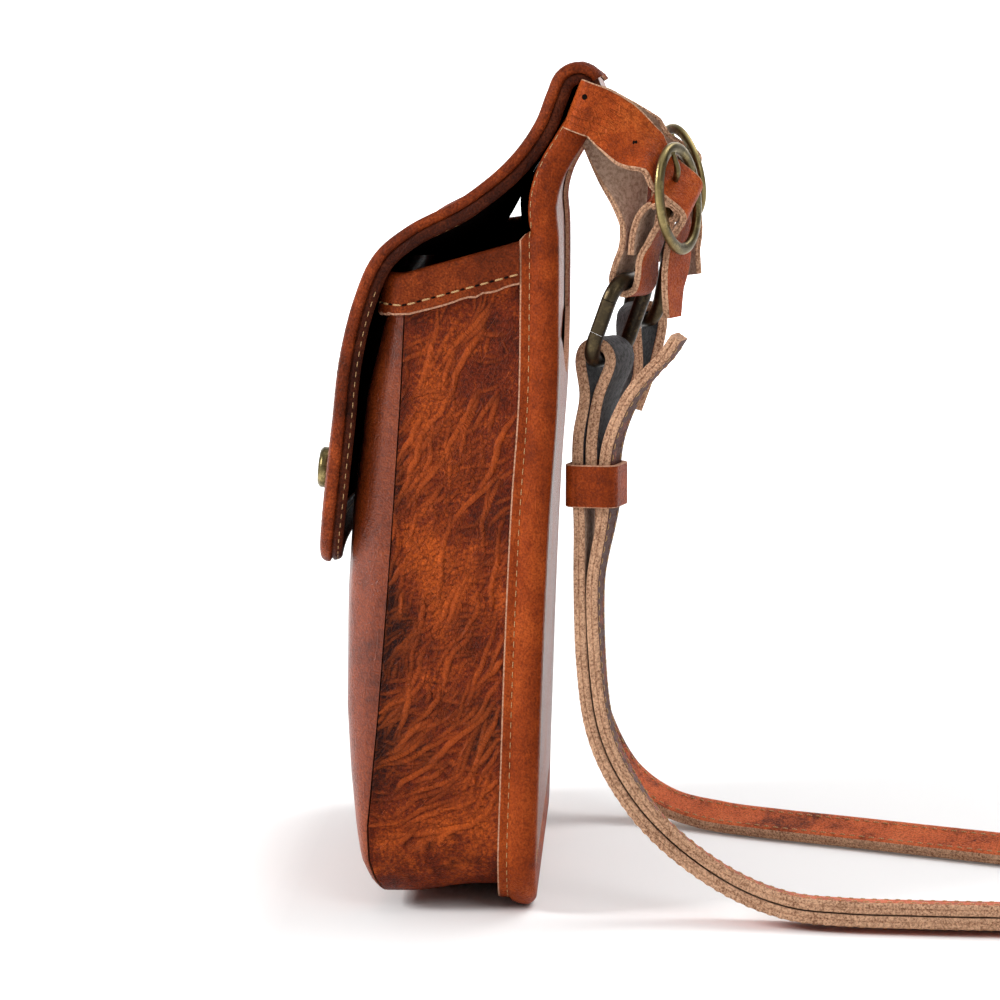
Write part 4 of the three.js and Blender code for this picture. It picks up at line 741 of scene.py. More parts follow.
def cloud(u, v, seed):
    """Gradient noise: seeded slopes on a square lattice, blended by a soft S inside each cell."""
    slope = np.random.default_rng(seed).uniform(0, 2 * np.pi, LATTICE)
    column, row = np.floor(u).astype(int), np.floor(v).astype(int)
    s, t = u - column, v - row
    share_s, share_t = smoothstep(s, 0, 1), smoothstep(t, 0, 1)
    total = np.zeros(s.shape)
    for a, b in ((0, 0), (0, 1), (1, 0), (1, 1)):
        turn = slope[(column + a) % LATTICE[0], (row + b) % LATTICE[1]]
        weight = (share_s if a else 1 - share_s) * (share_t if b else 1 - share_t)
        total += weight * ((s - a) * np.cos(turn) + (t - b) * np.sin(turn))
    return total * 1.6


def strokes(u, v, weight, seed, count, length, wide, turn):
    """Ridges drawn as strokes with seeded places, lengths and turns, and hollows along one side of them; the finish
    paints the ridges pale as painted highlight and the hollows dark as painted shade.

    Across a stroke the height is a bell curve of the given width; along it, it fades out as a parabola.
    """
    draw = np.random.default_rng(seed)
    at = draw.choice(weight.size, count, p=weight.ravel() / weight.sum())
    ridge_and_highlight, side = np.zeros(u.shape), np.zeros(u.shape)
    angles, halves = draw.normal(turn, 0.24, count), draw.uniform(*length, count) / 2
    heights = draw.uniform(0.45, 1.0, count)
    for u_mid, v_mid, angle, half, full_height in zip(u.flat[at], v.flat[at], angles, halves, heights):
        s = (u - u_mid) * np.cos(angle) + (v - v_mid) * np.sin(angle)
        t = (v - v_mid) * np.cos(angle) - (u - u_mid) * np.sin(angle)
        fade = full_height * np.clip(1 - (s / half) ** 2, 0, 1)
        ridge_and_highlight = np.maximum(ridge_and_highlight, fade * np.exp(-((t / wide) ** 2)))
        # The strip on one side of each stroke is real relief and also the painted shade of the finish.
        side = np.maximum(side, fade * np.exp(-(((t + 2.1 * wide) / (1.2 * wide)) ** 2)))
    return ridge_and_highlight, side


def blot(d, z, wide, tall):
    """Soft spot on the gusset at a share of its depth and a height."""
    return np.exp(-((depth - d) / wide) ** 2 - ((gusset_z - z) / tall) ** 2)


print("crease map", crease_map.shape)

# %% Creases of the gusset: ridges that stand up and hollows beside them, painted pale and dark as highlight and shade
near = slice(0, SIDE_ROWS + 6)
along, across = np.moveaxis(crease_map[near], -1, 0)
along_bent = along + 2.0 * cloud(along / 14, across / 12, 11)
across_bent = across + 2.2 * cloud(along / 13, across / 10, 12) + 0.6 * cloud(along / 4.5, across / 4.5, 13)
strong = 0.25 + blot(0.25, 128, 0.35, 34) + 0.8 * blot(0.3, 60, 0.4, 22) + 0.8 * blot(0.4, 30, 0.5, 22)
crossed = 0.15 + blot(0.5, 92, 0.5, 16) + 0.7 * blot(0.35, 140, 0.3, 18) + 0.6 * blot(0.5, 48, 0.4, 14)
calm = 1 - 0.7 * np.minimum(blot(0.75, 160, 0.3, 24) + 0.7 * blot(0.5, 112, 0.2, 9), 1)
strong, crossed = strong[near] * calm[near], crossed[near] * calm[near]
STROKES = [  # where, seed, count, shortest and longest, half width, turn, height
    (strong, 14, 105, (10, 36), 0.36, 0.0, 1.0),
    (strong, 15, 240, (4, 13), 0.27, 0.15, 0.5),
    (strong, 16, 150, (4, 13), 0.30, -0.6, 0.6),
    (crossed, 17, 230, (5, 15), 0.30, -1.1, 0.6)]
ridges, sides = zip(*(tuple(height * field for field in strokes(along_bent, across_bent, *row))
                      for *row, height in STROKES))
near_fold_and_highlight = np.max(ridges, axis=0)
near_hollow_and_shade = np.max(sides, axis=0) * (1 - near_fold_and_highlight)
fold_and_highlight, hollow_and_shade = np.zeros(gusset_y.shape), np.zeros(gusset_y.shape)
for whole, part in ((fold_and_highlight, near_fold_and_highlight), (hollow_and_shade, near_hollow_and_shade)):
    whole[near] = part
    whole[len(row_x) - len(far_rows):] += np.where(
        (far_rows < len(part))[:, None], part[np.minimum(far_rows, len(part) - 1)], 0)
on_side = np.abs(np.sign(row_share)) + (row_share == 0) * smoothstep(np.abs(row_x), 72, 86)
covered = smoothstep(depth, 0.0, 0.05) * (1 - smoothstep(depth, 0.78, 0.84))
covered = covered * (1 - smoothstep(row_share, 0.90, 0.95)) * on_side
swell = 0.22 * cloud(crease_map[..., 0] / 11, crease_map[..., 1] / 6, 19)
pressed = covered * (0.46 * fold_and_highlight - 0.4 * hollow_and_shade + swell - 0.35)
gusset_middle[..., 0] += np.sign(row_x) * pressed
# Dark burn blots on the gusset itself; on the straps the same value holds painted shade.
burn_and_shade = 0.5 * blot(0.15, 84, 0.18, 14) + 0.45 * blot(0.06, 52, 0.14, 24) + 0.3 * blot(0.95, 150, 0.22, 30)
burn_and_shade += 0.45 * blot(0.7, 110, 0.2, 12) + 0.35 * blot(0.0, 120, 0.08, 90) + 0.6 * blot(0.74, 48, 0.12, 10)
print("creases pressed by", np.round([pressed.min(), pressed.max()], 2), "mm")


# %% Gusset: the creased outer face, and a plain inner face on fewer columns
def gusset_walls(middle):
    """Outlines of both faces, turned away from a line at half the gusset's height."""
    outward = [np.broadcast_to(row_x, middle.shape[:2]), 0 * middle[..., 1], middle[..., 2] - MOUTH_FRONT / 2]
    return walls(middle, LEATHER, np.stack(outward, -1))


def spread_inner(values):
    """Values of the outer face, with zeros for the inner one."""
    return np.concatenate([values, np.zeros((len(values), INNER_COLUMNS) + values.shape[2:])], axis=1)


outer_face = gusset_walls(gusset_middle)[:, :OUTER_COLUMNS]
inner_face = gusset_walls(gusset_at(np.linspace(0, 1, INNER_COLUMNS)[None, :]))[:, INNER_COLUMNS:]
carried("gusset_band", np.concatenate([outer_face, inner_face], axis=1), [creased_hide, lining, cut_edge], "gusset",
        bands=wall_bands(OUTER_COLUMNS, INNER_COLUMNS), cap=2, lie=spread_inner(crease_map), whole_ends=True,
        values={"burn_and_shade": spread_inner(burn_and_shade), "fold_and_highlight": spread_inner(fold_and_highlight), "hollow_and_shade": spread_inner(hollow_and_shade)})

# %% Front panel
FRONT_ROLL, FOOT_ROLL, FRONT_BULGE, FRONT_GAP = 10.0, 15.0, 4.5, 0.1


def front_at(z, swell_row, inset, swell_column, share):
    """Bulged tray: the seam's depth, plus quarter-circle rolls at the sides and foot, plus a parabola in x."""
    rise = np.maximum(SIDE_CORNER - (z - 1), 0)
    half = SIDE - SIDE_CORNER + np.sqrt(SIDE_CORNER**2 - rise**2)
    belly = FRONT_BULGE * np.sin(np.pi * np.clip(z / 195, 0, 1))
    rolled = np.interp(z, FRONT_SEAM[:, 0], FRONT_SEAM[:, 2]) * swell_column
    out = rolled * swell_row + belly * (1 - share**2) * swell_row
    return np.stack(np.broadcast_arrays(share * (half - inset), seam_y(z) - FRONT_GAP - out, z), -1)


roll_turn = np.linspace(0, np.pi / 2, 12)
middle_share = np.linspace(1, 0, 22)[1:]
column_inset = np.concatenate([FRONT_ROLL * (1 - np.cos(roll_turn)), np.full(len(middle_share), FRONT_ROLL)])
column_swell = np.concatenate([np.sin(roll_turn), np.ones(len(middle_share))])
column_share = np.concatenate([np.ones(len(roll_turn)), middle_share])
column_inset, column_swell = (np.concatenate([v, v[-2::-1]]) for v in (column_inset, column_swell))
column_share = np.concatenate([column_share, -column_share[-2::-1]])
flat_z = np.linspace(1 + FOOT_ROLL, MOUTH_FRONT, 70)[1:]
front_z = np.concatenate([1 + FOOT_ROLL * (1 - np.cos(roll_turn)), flat_z])
front_swell = np.concatenate([np.sin(roll_turn), np.ones(len(flat_z))])
columns = (column_inset, column_swell, column_share)
front_middle = front_at(front_z[:, None], front_swell[:, None], *(v[None, :] for v in columns))
carried("front_tray", walls(front_middle, LEATHER, np.array([0, -1.0, 0])),
        [front_hide, lining, dyed_edge], "front_panel", bands=wall_bands(len(column_share), len(column_share)), cap=2)

# %% [markdown]
# ## Mouth band and back pocket
# A narrow strip is folded over the top edge of the gusset and front panel. On the side its slope follows the
# mouth, and its lower edge is left raw. The slip pocket on the back is a plain wall with a scooped mouth.

# %% Mouth band
BAND_LIFT, BAND_ROWS, FOLD_POINTS = 2.4, 16, 40
band_y = np.linspace(back_y(MOUTH_BACK) - 8.45, seam_y(MOUTH_FRONT) + 1.5, BAND_ROWS)
near_at, far_at = (np.stack([np.full(BAND_ROWS, SIDE * k), band_y, mouth_height(band_y, k)], -1) for k in (1, -1))
near_at[:, 2] += BAND_LIFT
front_top = front_at(np.full(len(column_share), MOUTH_FRONT), 1.0, *columns)
front_low = front_at(np.full(len(column_share), 158.3), 1.0, *columns)
front_top[:, 2] += BAND_LIFT * smoothstep(front_top[:, 0], 50, 86)
front_top[:, 2] += FAR_RISE[0, 1] * smoothstep(-front_top[:, 0], 20, 86)
band_at = np.concatenate([near_at, front_top, far_at[::-1]])
upright = np.tile([0, 0, 1.0], (BAND_ROWS, 1))
band_up = np.concatenate([upright, unit(front_top - front_low), upright])
band_along = np.gradient(band_at, axis=0) * [1, 1, 0]
band_across = unit(np.cross(band_up, band_along))
band_across *= np.sign(band_across[0, 0])
HOLD = GRIP + 0.15
band_fold = c_section(
    [(HOLD + 1.0, -10.8), (HOLD + 1.35, -10.2), (HOLD + 1.5, -8.4), (HOLD + 1.5, -4), (HOLD + 1.4, -0.4),
     (HOLD + 0.5, 1.4), (0, 1.8), (-HOLD - 0.5, 1.4), (-HOLD - 1.4, -0.4), (-HOLD - 1.5, -4), (-HOLD - 1.2, -8)],
    [(HOLD, -10.8), (HOLD, -6), (HOLD, -0.4), (HOLD - 0.5, 0.3), (0, 0.3), (-HOLD + 0.5, 0.3), (-HOLD, -0.4),
     (-HOLD, -8)], FOLD_POINTS)
band_folds = np.repeat(band_fold[None], len(band_at), axis=0)
ragged = rng.uniform(-0.35, 0.35, (len(band_at), 1))
band_folds[:, :3, 1] += ragged
band_folds[:, -3:, 1] += ragged
band_bands = wall_bands(FOLD_POINTS, FOLD_POINTS)
band_bands[:1] = 2
carried("mouth_strip", place_section(band_at, band_across, band_up, band_folds), [edge_hide_in_painted_shade, lining, cut_edge],
        "mouth_band", bands=band_bands, cap=2)

# %% Back pocket
POCKET_HALF, POCKET_FOOT, POCKET_CORNER, POCKET_TOP, POCKET_SCOOP, POCKET_LEATHER = 82.4, 12.0, 14.0, 167.0, 16.0, 1.6
POCKET_COLUMNS = 41
pocket_share = np.linspace(-1, 1, POCKET_COLUMNS)[None, :]
pocket_round = 0.09 * (1 - np.cos(np.linspace(0, np.pi / 2, 12)))
pocket_rise = np.concatenate([pocket_round, np.linspace(0.09, 1, 50)[1:]])[:, None]
pocket_z = POCKET_FOOT + pocket_rise * (POCKET_TOP - POCKET_SCOOP * np.cos(pocket_share * np.pi / 2) ** 2 - POCKET_FOOT)
pocket_half = POCKET_HALF - rounded_off(pocket_z - POCKET_FOOT, POCKET_CORNER)
slack = 0.9 * (1 - pocket_share**2) * np.sin(np.pi * pocket_rise / 1.6)
pocket_y = back_y(pocket_z) + LEATHER / 2 + SEAM + 0.15 + POCKET_LEATHER / 2 + slack
pocket_middle = np.stack([pocket_share * pocket_half, pocket_y, pocket_z], -1)
carried("slip_pocket", walls(pocket_middle, POCKET_LEATHER, np.array([0, 1.0, 0])),
        [front_hide, lining, cut_edge], "back_pocket", bands=wall_bands(POCKET_COLUMNS, POCKET_COLUMNS), cap=2)

# %% [markdown]
# ## Straps
# A flat strap is a rounded rectangle carried along a spline. Each row of a strap's table gives a point on its
# middle line and how its width is turned: turn about the vertical, dip below the level. One face is grain, the
# other is flesh, and the narrow sides are raw.

# %% Strap helpers
def strap_frames(rows, steps):
    """Middle line, width direction, face direction and width share of a strap from its table."""
    rows = np.asarray(rows, float)
    at = spline(rows[:, :3], steps)
    place = np.linspace(0, len(rows) - 1, len(at))
    turn, dip, share = (np.interp(place, np.arange(len(rows)), rows[:, k]) for k in (3, 4, 5))
    turn, dip = np.radians(turn), np.radians(dip)
    along = unit(np.gradient(at, axis=0))
    across = np.stack([np.cos(turn) * np.cos(dip), -np.sin(turn) * np.cos(dip), -np.sin(dip)], -1)
    across = unit(across - along * (across * along).sum(-1, keepdims=True))
    return at, across, np.cross(along, across), share


def strap_section(width, thick):
    """Rounded rectangle with a groove along each narrow side: the upper half, then the lower half back."""
    u = np.array([-0.965, -1, -1, -0.985, -0.95, -0.75, -0.4, 0, 0.4, 0.75, 0.95, 0.985, 1, 1, 0.965]) * width / 2
    v = np.array([0.05, 0.16, 0.62, 0.9, 1, 1, 1, 1, 1, 1, 1, 0.9, 0.62, 0.16, 0.05]) * thick / 2
    return np.concatenate([np.stack([u, v], -1), np.stack([u, -v], -1)[::-1]])


STRAP_BANDS = np.array([2] * 4 + [0] * 6 + [2] * 4 + [2] + [2] * 4 + [1] * 6 + [2] * 4 + [2])
GRAIN = 6  # a segment of the section that lies on its upper face


def turned_over(bands):
    """Finish numbers of a strap whose faces are the other way round."""
    return np.roll(bands, len(bands) // 2)


def strap_rings(frames, width, thick):
    """Section of a strap on every station, scaled by the width share."""
    at, across, up, share = frames
    section = np.repeat(strap_section(width, thick)[None], len(at), axis=0)
    section[..., 0] *= share[:, None]
    return place_section(at, across, up, section)


def full(rows, dip=0.0):
    """Table rows of x, y, z and turn, given one dip and full width."""
    return [(x, y, z, turn, dip, 1.0) for x, y, z, turn in rows]


print("strap section", strap_section(14, 3.4).shape)

# %% Frames of the hardware on the strap tabs
TURN, TILT, LEAN, SWING = np.radians([24.0, 21.0, 38.0, 9.0])
WIDE = np.array([np.cos(TURN), -np.sin(TURN), 0])
DEEP = np.array([np.sin(TURN), np.cos(TURN), 0])
UP = np.array([0, 0, 1.0])
SLIT = np.array([80, 37.9, 230.1])
SLIT_OUT = np.array([0, np.cos(np.radians(34)), -np.sin(np.radians(34))])
HOOK_WIDE, HOOK_LONG, HOOK_CORNER, HOOK_BAR, HOOK_TOP = 12.2, 12.5, 6.5, 2.2, (4.25, 184.0)
HOOK_UP = DEEP * np.sin(TILT) + UP * np.cos(TILT)
HOOK_FACE = np.cross(WIDE, HOOK_UP)
BUCKLE_UP = WIDE * np.sin(LEAN) + UP * np.cos(LEAN)
BUCKLE_WIDE = WIDE * np.cos(LEAN) - UP * np.sin(LEAN)


def hang(s, z, v=0.0):
    """Point of the hanging hardware: s towards the back, z up, v across."""
    s, z, v = (np.asarray(a, float)[..., None] for a in (s, z, v))
    return np.array([80, 48, 0]) + DEEP * s + WIDE * v + UP * z


def buckle_at(c, n, v=0.0):
    """Point of the buckle: c along it, n off its plane, v across."""
    c, n, v = (np.asarray(a, float)[..., None] for a in (c, n, v))
    return hang(18.5, 207.7) + BUCKLE_UP * c + DEEP * n + BUCKLE_WIDE * v


def hook_at(v, l):
    """Point of the hook's plane: v across, l along it."""
    v, l = (np.asarray(a, float)[..., None] for a in (v, l))
    return hang(*HOOK_TOP) - HOOK_UP * HOOK_LONG + WIDE * v + HOOK_UP * l


def swung(points, angle):
    """Mirror image on the far side, swung back about the slit."""
    offset = points - SLIT
    cos, sin = np.cos(angle), np.sin(angle)
    y = offset[..., 1] * cos - offset[..., 2] * sin
    z = offset[..., 1] * sin + offset[..., 2] * cos
    return np.stack([-offset[..., 0] - SLIT[0], y + SLIT[1], z + SLIT[2]], -1)


def far_side(points):
    """Far copy of stiff hardware."""
    return swung(points, SWING)


def far_tab(points):
    """Far copy of a strap tab, which swings only once it is clear of the panel."""
    return swung(points, SWING * smoothstep((points - SLIT) @ SLIT_OUT, 4, 20))


SIDES = (("near", lambda points: points), ("far", far_side))
TAB_SIDES = (SIDES[0], ("far", far_tab))
print("hook centre", np.round(hook_at(0, 0), 1), "buckle centre", np.round(buckle_at(0, 0), 1))

# %% Strap tabs: through the slit, round the hook and on to the buckle
TAB_WIDTH, TAB, LOOP_SHARE, SLIT_SHARE = 16.5, 2.0, 13 / 16.5, 0.92
NEAR_LEG, ROOT, ROOT_DIP = 92.3, (39.6, 233.0), 69.0
ROOT_OUT = np.array([0, np.sin(np.radians(ROOT_DIP)), -np.cos(np.radians(ROOT_DIP))])


def tab_row(point, turn, dip, share=1.0):
    """One row of the tab's table."""
    return (*point, turn, dip, share)


def slit_row(x, out):
    """Row on the way through the slit."""
    return tab_row(np.array([x, *ROOT]) + ROOT_OUT * out, 90, ROOT_DIP, SLIT_SHARE)


def turned(centre, radius, angles):
    """Points of a bend round a bar, as two coordinates."""
    return [(centre[0] + radius * np.cos(np.radians(a)), centre[1] + radius * np.sin(np.radians(a))) for a in angles]


weave = [(-15.8, -3.7), (-10.6, -2.9), (-7, -0.4), (0, 4.1), (7, -0.4), (10.6, -2.9), (15.8, -3.7)]
tab_rows = [
    tab_row((81.5, 63.4, 173), 24, 6, 0.55), tab_row((81.6, 63.6, 184), 24, 20, 0.85),
    *[tab_row(buckle_at(c, n), 24, 38, 0.94) for c, n in weave],
    tab_row((93.9, 52.2, 223.6), 58, 50), tab_row((92.9, 46.8, 228.6), 80, 60),
    *[slit_row(NEAR_LEG + x, out) for x, out in ((0, 3), (0, -2), (-1, -4), (-3.6, -4.9))],
    *[slit_row(x, out) for x, out in ((83.6, -4.9), (81, -4), (80, -2), (80, 3))],
    tab_row((80, 44.6, 226.2), 88, 52), tab_row((80.5, 47.8, 218), 68, 34), tab_row((81, 50.2, 208.5), 38, 12),
    *[tab_row(hang(s, z), 24, 0, LOOP_SHARE) for s, z in ((3.6, 200), (3.4, 194), (1.4, 188.6))],
    *[tab_row(hang(s, z), 24, 0, LOOP_SHARE) for s, z in turned(HOOK_TOP, 4.0, (180, 225, 270, 315, 360))],
    tab_row(hang(8.7, 190, -0.8), 24, 6, LOOP_SHARE), tab_row(hang(10.1, 194.6, -2), 24, 18, LOOP_SHARE),
    tab_row(buckle_at(-7.4, -6.4, 2.6), 24, 34, LOOP_SHARE), tab_row(buckle_at(-4.6, -4.6, 0.4), 24, 38, LOOP_SHARE),
    *[tab_row(buckle_at(c, n), 24, 38, LOOP_SHARE) for n, c in turned((-1.5, 0), 3.1, (-120, -60, 0, 60, 120))],
    tab_row(hang(12.4, 208.8), 24, 35, LOOP_SHARE), tab_row(hang(9, 204.6), 24, 18, LOOP_SHARE),
    tab_row(hang(6.9, 198), 24, 4, LOOP_SHARE), tab_row(hang(6.2, 191.4), 24, 0, LOOP_SHARE),
]
tab_frames = strap_frames(tab_rows, 6)
leg = np.argmin(np.linalg.norm(tab_frames[0] - [92.9, 46.8, 228.6], axis=1))
tab_bands = STRAP_BANDS if tab_frames[2][leg, 0] > 0 else turned_over(STRAP_BANDS)
for side, move in TAB_SIDES:
    carried(f"{side}_tab", move(strap_rings(tab_frames, TAB_WIDTH, TAB)), [tab_hide, flesh_side, strap_edge],
            f"{side}_connector", bands=tab_bands, cap=2)

# %% Punched holes of the tabs
def tab_hole(place, aside, radius=0.85, corners=20):
    """Outlines of a shallow dark disc on the tab's grain side at a station, some way off its middle, painted shade for
    a hole.
    """
    at, across, up, _ = (v[place] for v in tab_frames)
    at = at + across * aside
    face = up if tab_bands[GRAIN] == 0 else -up
    spin = (np.arange(corners) + 0.5) / corners * 2 * np.pi
    plane = np.outer(np.cos(spin), across) + np.outer(np.sin(spin), np.cross(face, across))
    reach = radius * np.array([0.02, 0.8, 1.0, 1.0, 0.8, 0.02])
    lift = TAB / 2 + np.array([0.02, 0.03, 0.0, -0.3, -0.4, -0.4])
    return at + plane[None] * reach[:, None, None] + face * lift[:, None, None]


tab_holes = [(np.argmin(np.linalg.norm(tab_frames[0] - p, axis=1)), aside)
             for p, aside in (((93.6, 52.6, 223.2), 0.0), ((NEAR_LEG, 37.0, 234.0), -3.0))]
for side, move in TAB_SIDES:
    for number, (place, aside) in enumerate(tab_holes):
        carried(f"{side}_tab_hole_{number + 1}", move(tab_hole(place, aside)), [painted_hole_shade], None)

# %% Shoulder strap: the short half on the near hook
STRAP_WIDTH, STRAP, LAID, STRAP_STEPS = 14.0, 3.4, 105.5, 8
FLOOR = STRAP / 2 - STAND
BOW = (HOOK_TOP[0] - 2 * HOOK_LONG * np.sin(TILT), HOOK_TOP[1] - 2 * HOOK_LONG * np.cos(TILT))
BAR_Y, BAR_Z, BAR = 246.0, 6.0 - STAND, 1.5
WRAP = BAR + 0.9 + STRAP / 2
LAYER = STRAP + 0.45
hook_loop = [hang(s, z) for s, z in turned(BOW, HOOK_BAR + 0.9 + STRAP / 2, (0, 45, 90, 135, 180))]
short_end = full([(81.4, 41.4, 120.6, 14), (81.2, 41.5, 129, 14), (80.4, 42, 138, 17), (79.2, 44.3, 150, 21)])
short_drop = full([(77.6, 40.2, 150, 21), (79.4, 38, 138, 17), (81.2, 37.6, 124, 14), (81.8, 37.8, 112, 12)])
short_laid = full([
    (82.6, 37.5, 95, 9), (84.4, 38.2, 70, 6), (86.5, 40.6, 52.8, 4), (87.6, 46, 39, 2)])
short_laid += full([
    (89.4, 58.4, 21.6, 0), (93.4, 79, 6.5, 0), (98, 97, 0.1, 0), (101.6, 114, FLOOR + 1.1, 0),
    (103.6, 134, FLOOR + 1.0, 0), (105, 158, FLOOR + 1.0, 0), (LAID, 190, FLOOR + 1.0, 0)], -8)
short_laid += full([(LAID, 220, FLOOR, 0)])
short_tip = full([(LAID, 238, FLOOR, 0)] + [
    (LAID, y, z, 0) for y, z in turned((BAR_Y, BAR_Z), WRAP, (-90, -45, 0, 45, 90, 150))])
short_rows = short_end + [tab_row(p, 24, 0) for p in hook_loop] + short_drop + short_laid + short_tip
short_frames = strap_frames(short_rows, STRAP_STEPS)
on_floor = np.argmin(np.linalg.norm(short_frames[0] - [LAID, 190, FLOOR], axis=1))
grain_down = STRAP_BANDS if short_frames[2][on_floor, 2] < 0 else turned_over(STRAP_BANDS)


def darkened(bands, frames, reach):
    """Finish numbers of a strap, with both faces dark on the loop round its hook."""
    rows = np.repeat(bands[None], len(frames[0]) - 1, axis=0)
    round_hook = np.zeros(len(rows), bool)
    round_hook[reach] = True
    rows[(rows < 2) & round_hook[:, None] & (frames[0][:-1, 2:] > 131)] = 3
    return rows


def hanging_shade(frames):
    """Painted shade of a strap for each corner of its section: dark where it hangs, plain where it lies."""
    return {"burn_and_shade": np.repeat(0.8 * smoothstep(frames[0][:, 2:], 0, 50), len(STRAP_BANDS), axis=1)}


strap_finishes = [strap_hide, flesh_side, strap_edge, dark_flesh]
short_loop = slice(0, STRAP_STEPS * (len(short_end) + len(hook_loop) + len(short_drop)))
carried("short_strap_half", strap_rings(short_frames, STRAP_WIDTH, STRAP), strap_finishes,
        "short_strap", bands=darkened(grain_down, short_frames, short_loop), cap=2,
        values=hanging_shade(short_frames))

# %% Shoulder strap: the long half, its tail on the short one and its other end on the far hook
coarse_at, _, coarse_up, _ = strap_frames(short_rows, 1)
first = len(short_rows) - len(short_tip) - len(short_laid)
laid_at, laid_up = coarse_at[first:first + len(short_laid)], coarse_up[first:first + len(short_laid)]
below = (laid_up[:, 2] < 0) | ((np.abs(laid_up[:, 2]) < 0.5) & (laid_up[:, 1] < 0))
laid_top = laid_at + laid_up * np.where(below, -LAYER, LAYER)[:, None]
tail = full([
    (86.6, 65.4, 167.6, 10), (86, 61.8, 162.2, 10), (85, 57.3, 157.4, 11), (84, 52.2, 150.8, 12), (83, 48.4, 143, 13),
    (82.3, 46.2, 136, 14), (82, 45.3, 129, 14), (82, 45.2, 119, 14), (82.2, 44, 111, 12), (82.6, 42.4, 103, 10)])
over_bar = full([
    (LAID, 232, 8 - STAND, 0), (LAID, BAR_Y, BAR_Z + WRAP + LAYER + 0.4, 0), (LAID, 258, 7 - STAND, 0),
    (LAID, 268, 2.4 - STAND, 0), (LAID, 282, FLOOR + 0.2, 0), (LAID, 318, FLOOR, 0)])
half_turn = np.linspace(0, 180, 9)
turn_round = [(LAID - 38 * (1 - np.cos(np.radians(a))), 356 + 38 * np.sin(np.radians(a)), FLOOR, -a, 0.0, 1.0)
              for a in half_turn]
ROLLED = FLOOR + 2.4
far_laid = full([(29, 318, FLOOR, -179)]) + full([(28.5, 270, FLOOR + 1.2, -176)], -10) + full([
    (23.5, 220, ROLLED, -168), (12.5, 182, ROLLED, -160), (-2.5, 152, ROLLED, -154), (-18.5, 122, ROLLED, -152),
    (-31.5, 97, ROLLED, -148), (-43.5, 78, 0.6, -146)], -20) + full([(-54, 62, 3.8, -150)], -10) + full([
    (-61, 50.4, 13, -160), (-64, 42, 30, -168), (-66, 37.8, 53.9, -174), (-70, 36.8, 76, -180),
    (-74, 38.4, 98, -186), (-76.4, 42.4, 118, -192), (-77.2, 46.6, 133, -198), (-77.6, 50.6, 145, -204)])
far_dip = np.degrees(np.arcsin(np.sin(TURN) * np.sin(SWING)))
far_loop = [tab_row(p, -204, far_dip) for p in far_side(np.array(hook_loop[::-1]))]
far_end = full([(-79.4, 56.6, 150, -204), (-79, 53.6, 140.6, -202), (-78.6, 51.2, 133, -198)])
long_rows = tail + [(*point, *row[3:]) for point, row in zip(laid_top, short_laid)] + over_bar + turn_round
long_rows += far_laid + far_loop + far_end
long_frames = strap_frames(long_rows, STRAP_STEPS)
on_floor = np.argmin(np.linalg.norm(long_frames[0] - [LAID, 300, FLOOR], axis=1))
grain_up = STRAP_BANDS if long_frames[2][on_floor, 2] > 0 else turned_over(STRAP_BANDS)
long_loop = slice(STRAP_STEPS * (len(long_rows) - len(far_end) - len(far_loop) - 3), None)
carried("long_strap_half", strap_rings(long_frames, STRAP_WIDTH, STRAP), strap_finishes,
        "long_strap", bands=darkened(grain_up, long_frames, long_loop), cap=2,
        values=hanging_shade(long_frames))
print("shoulder strap made of", len(short_rows), "and", len(long_rows), "stations")

# %% [markdown]
# ## Metal
# Buckles and snap hooks are bent rods. A rod is an oval outline carried along a path, and a closed path makes a
# ring. The hook's gate is the part of its ring between hinge and nose, so it is made from the same path, cut
# at the same two places, and it rides on a body of its own.

# %% Rods and rings
def oval(wide, thick, corners=16, power=2.0):
    """Closed oval outline; a higher power makes it squarer."""
    angle = (np.arange(corners) + 0.5) / corners * 2 * np.pi
    c, s = np.cos(angle), np.sin(angle)
    return np.stack([wide * np.sign(c) * np.abs(c) ** (2 / power), thick * np.sign(s) * np.abs(s) ** (2 / power)], -1)


def planar(at, face, closed=True):
    """Frames of a path that lies in a plane, or nearly: out of the path, and the plane's normal."""
    along = np.roll(at, -1, 0) - np.roll(at, 1, 0) if closed else np.gradient(at, axis=0)
    return at, unit(np.cross(along, face)), np.broadcast_to(face, at.shape)


def rounded_rectangle(half_wide, half_long, radius, distance):
    """Points [v, l] of a rounded rectangle, by the distance from the lower end of its right side."""
    straight = np.array([2 * (half_long - radius), 2 * (half_wide - radius)])
    starts = np.concatenate([[0], np.cumsum(np.tile(straight + np.pi / 2 * radius, 2))])
    distance = np.asarray(distance, float) % starts[-1]
    side = np.clip(np.searchsorted(starts, distance, side="right") - 1, 0, 3)
    rest, length = distance - starts[side], straight[side % 2]
    bend = np.maximum(rest - length, 0) / radius
    x = np.where(side % 2 == 0, half_wide, half_long) - radius * (1 - np.cos(bend))
    y = np.minimum(rest, length) - length / 2 + radius * np.sin(bend)
    cos, sin = np.cos(side * np.pi / 2), np.sin(side * np.pi / 2)
    return np.stack([x * cos - y * sin, x * sin + y * cos], -1)


def rounded_length(half_wide, half_long, radius):
    """Length of a rounded rectangle."""
    return 4 * (half_long + half_wide - 2 * radius) + 2 * np.pi * radius


def rim_wear(stations, section, amount):
    """Wear on the outer rim of a ring, where it rubs."""
    return np.broadcast_to(amount * smoothstep(section[:, 0] / section[:, 0].max(), 0.4, 1.0), (stations, len(section)))


print("hook length", round(rounded_length(HOOK_WIDE, HOOK_LONG, HOOK_CORNER), 1))

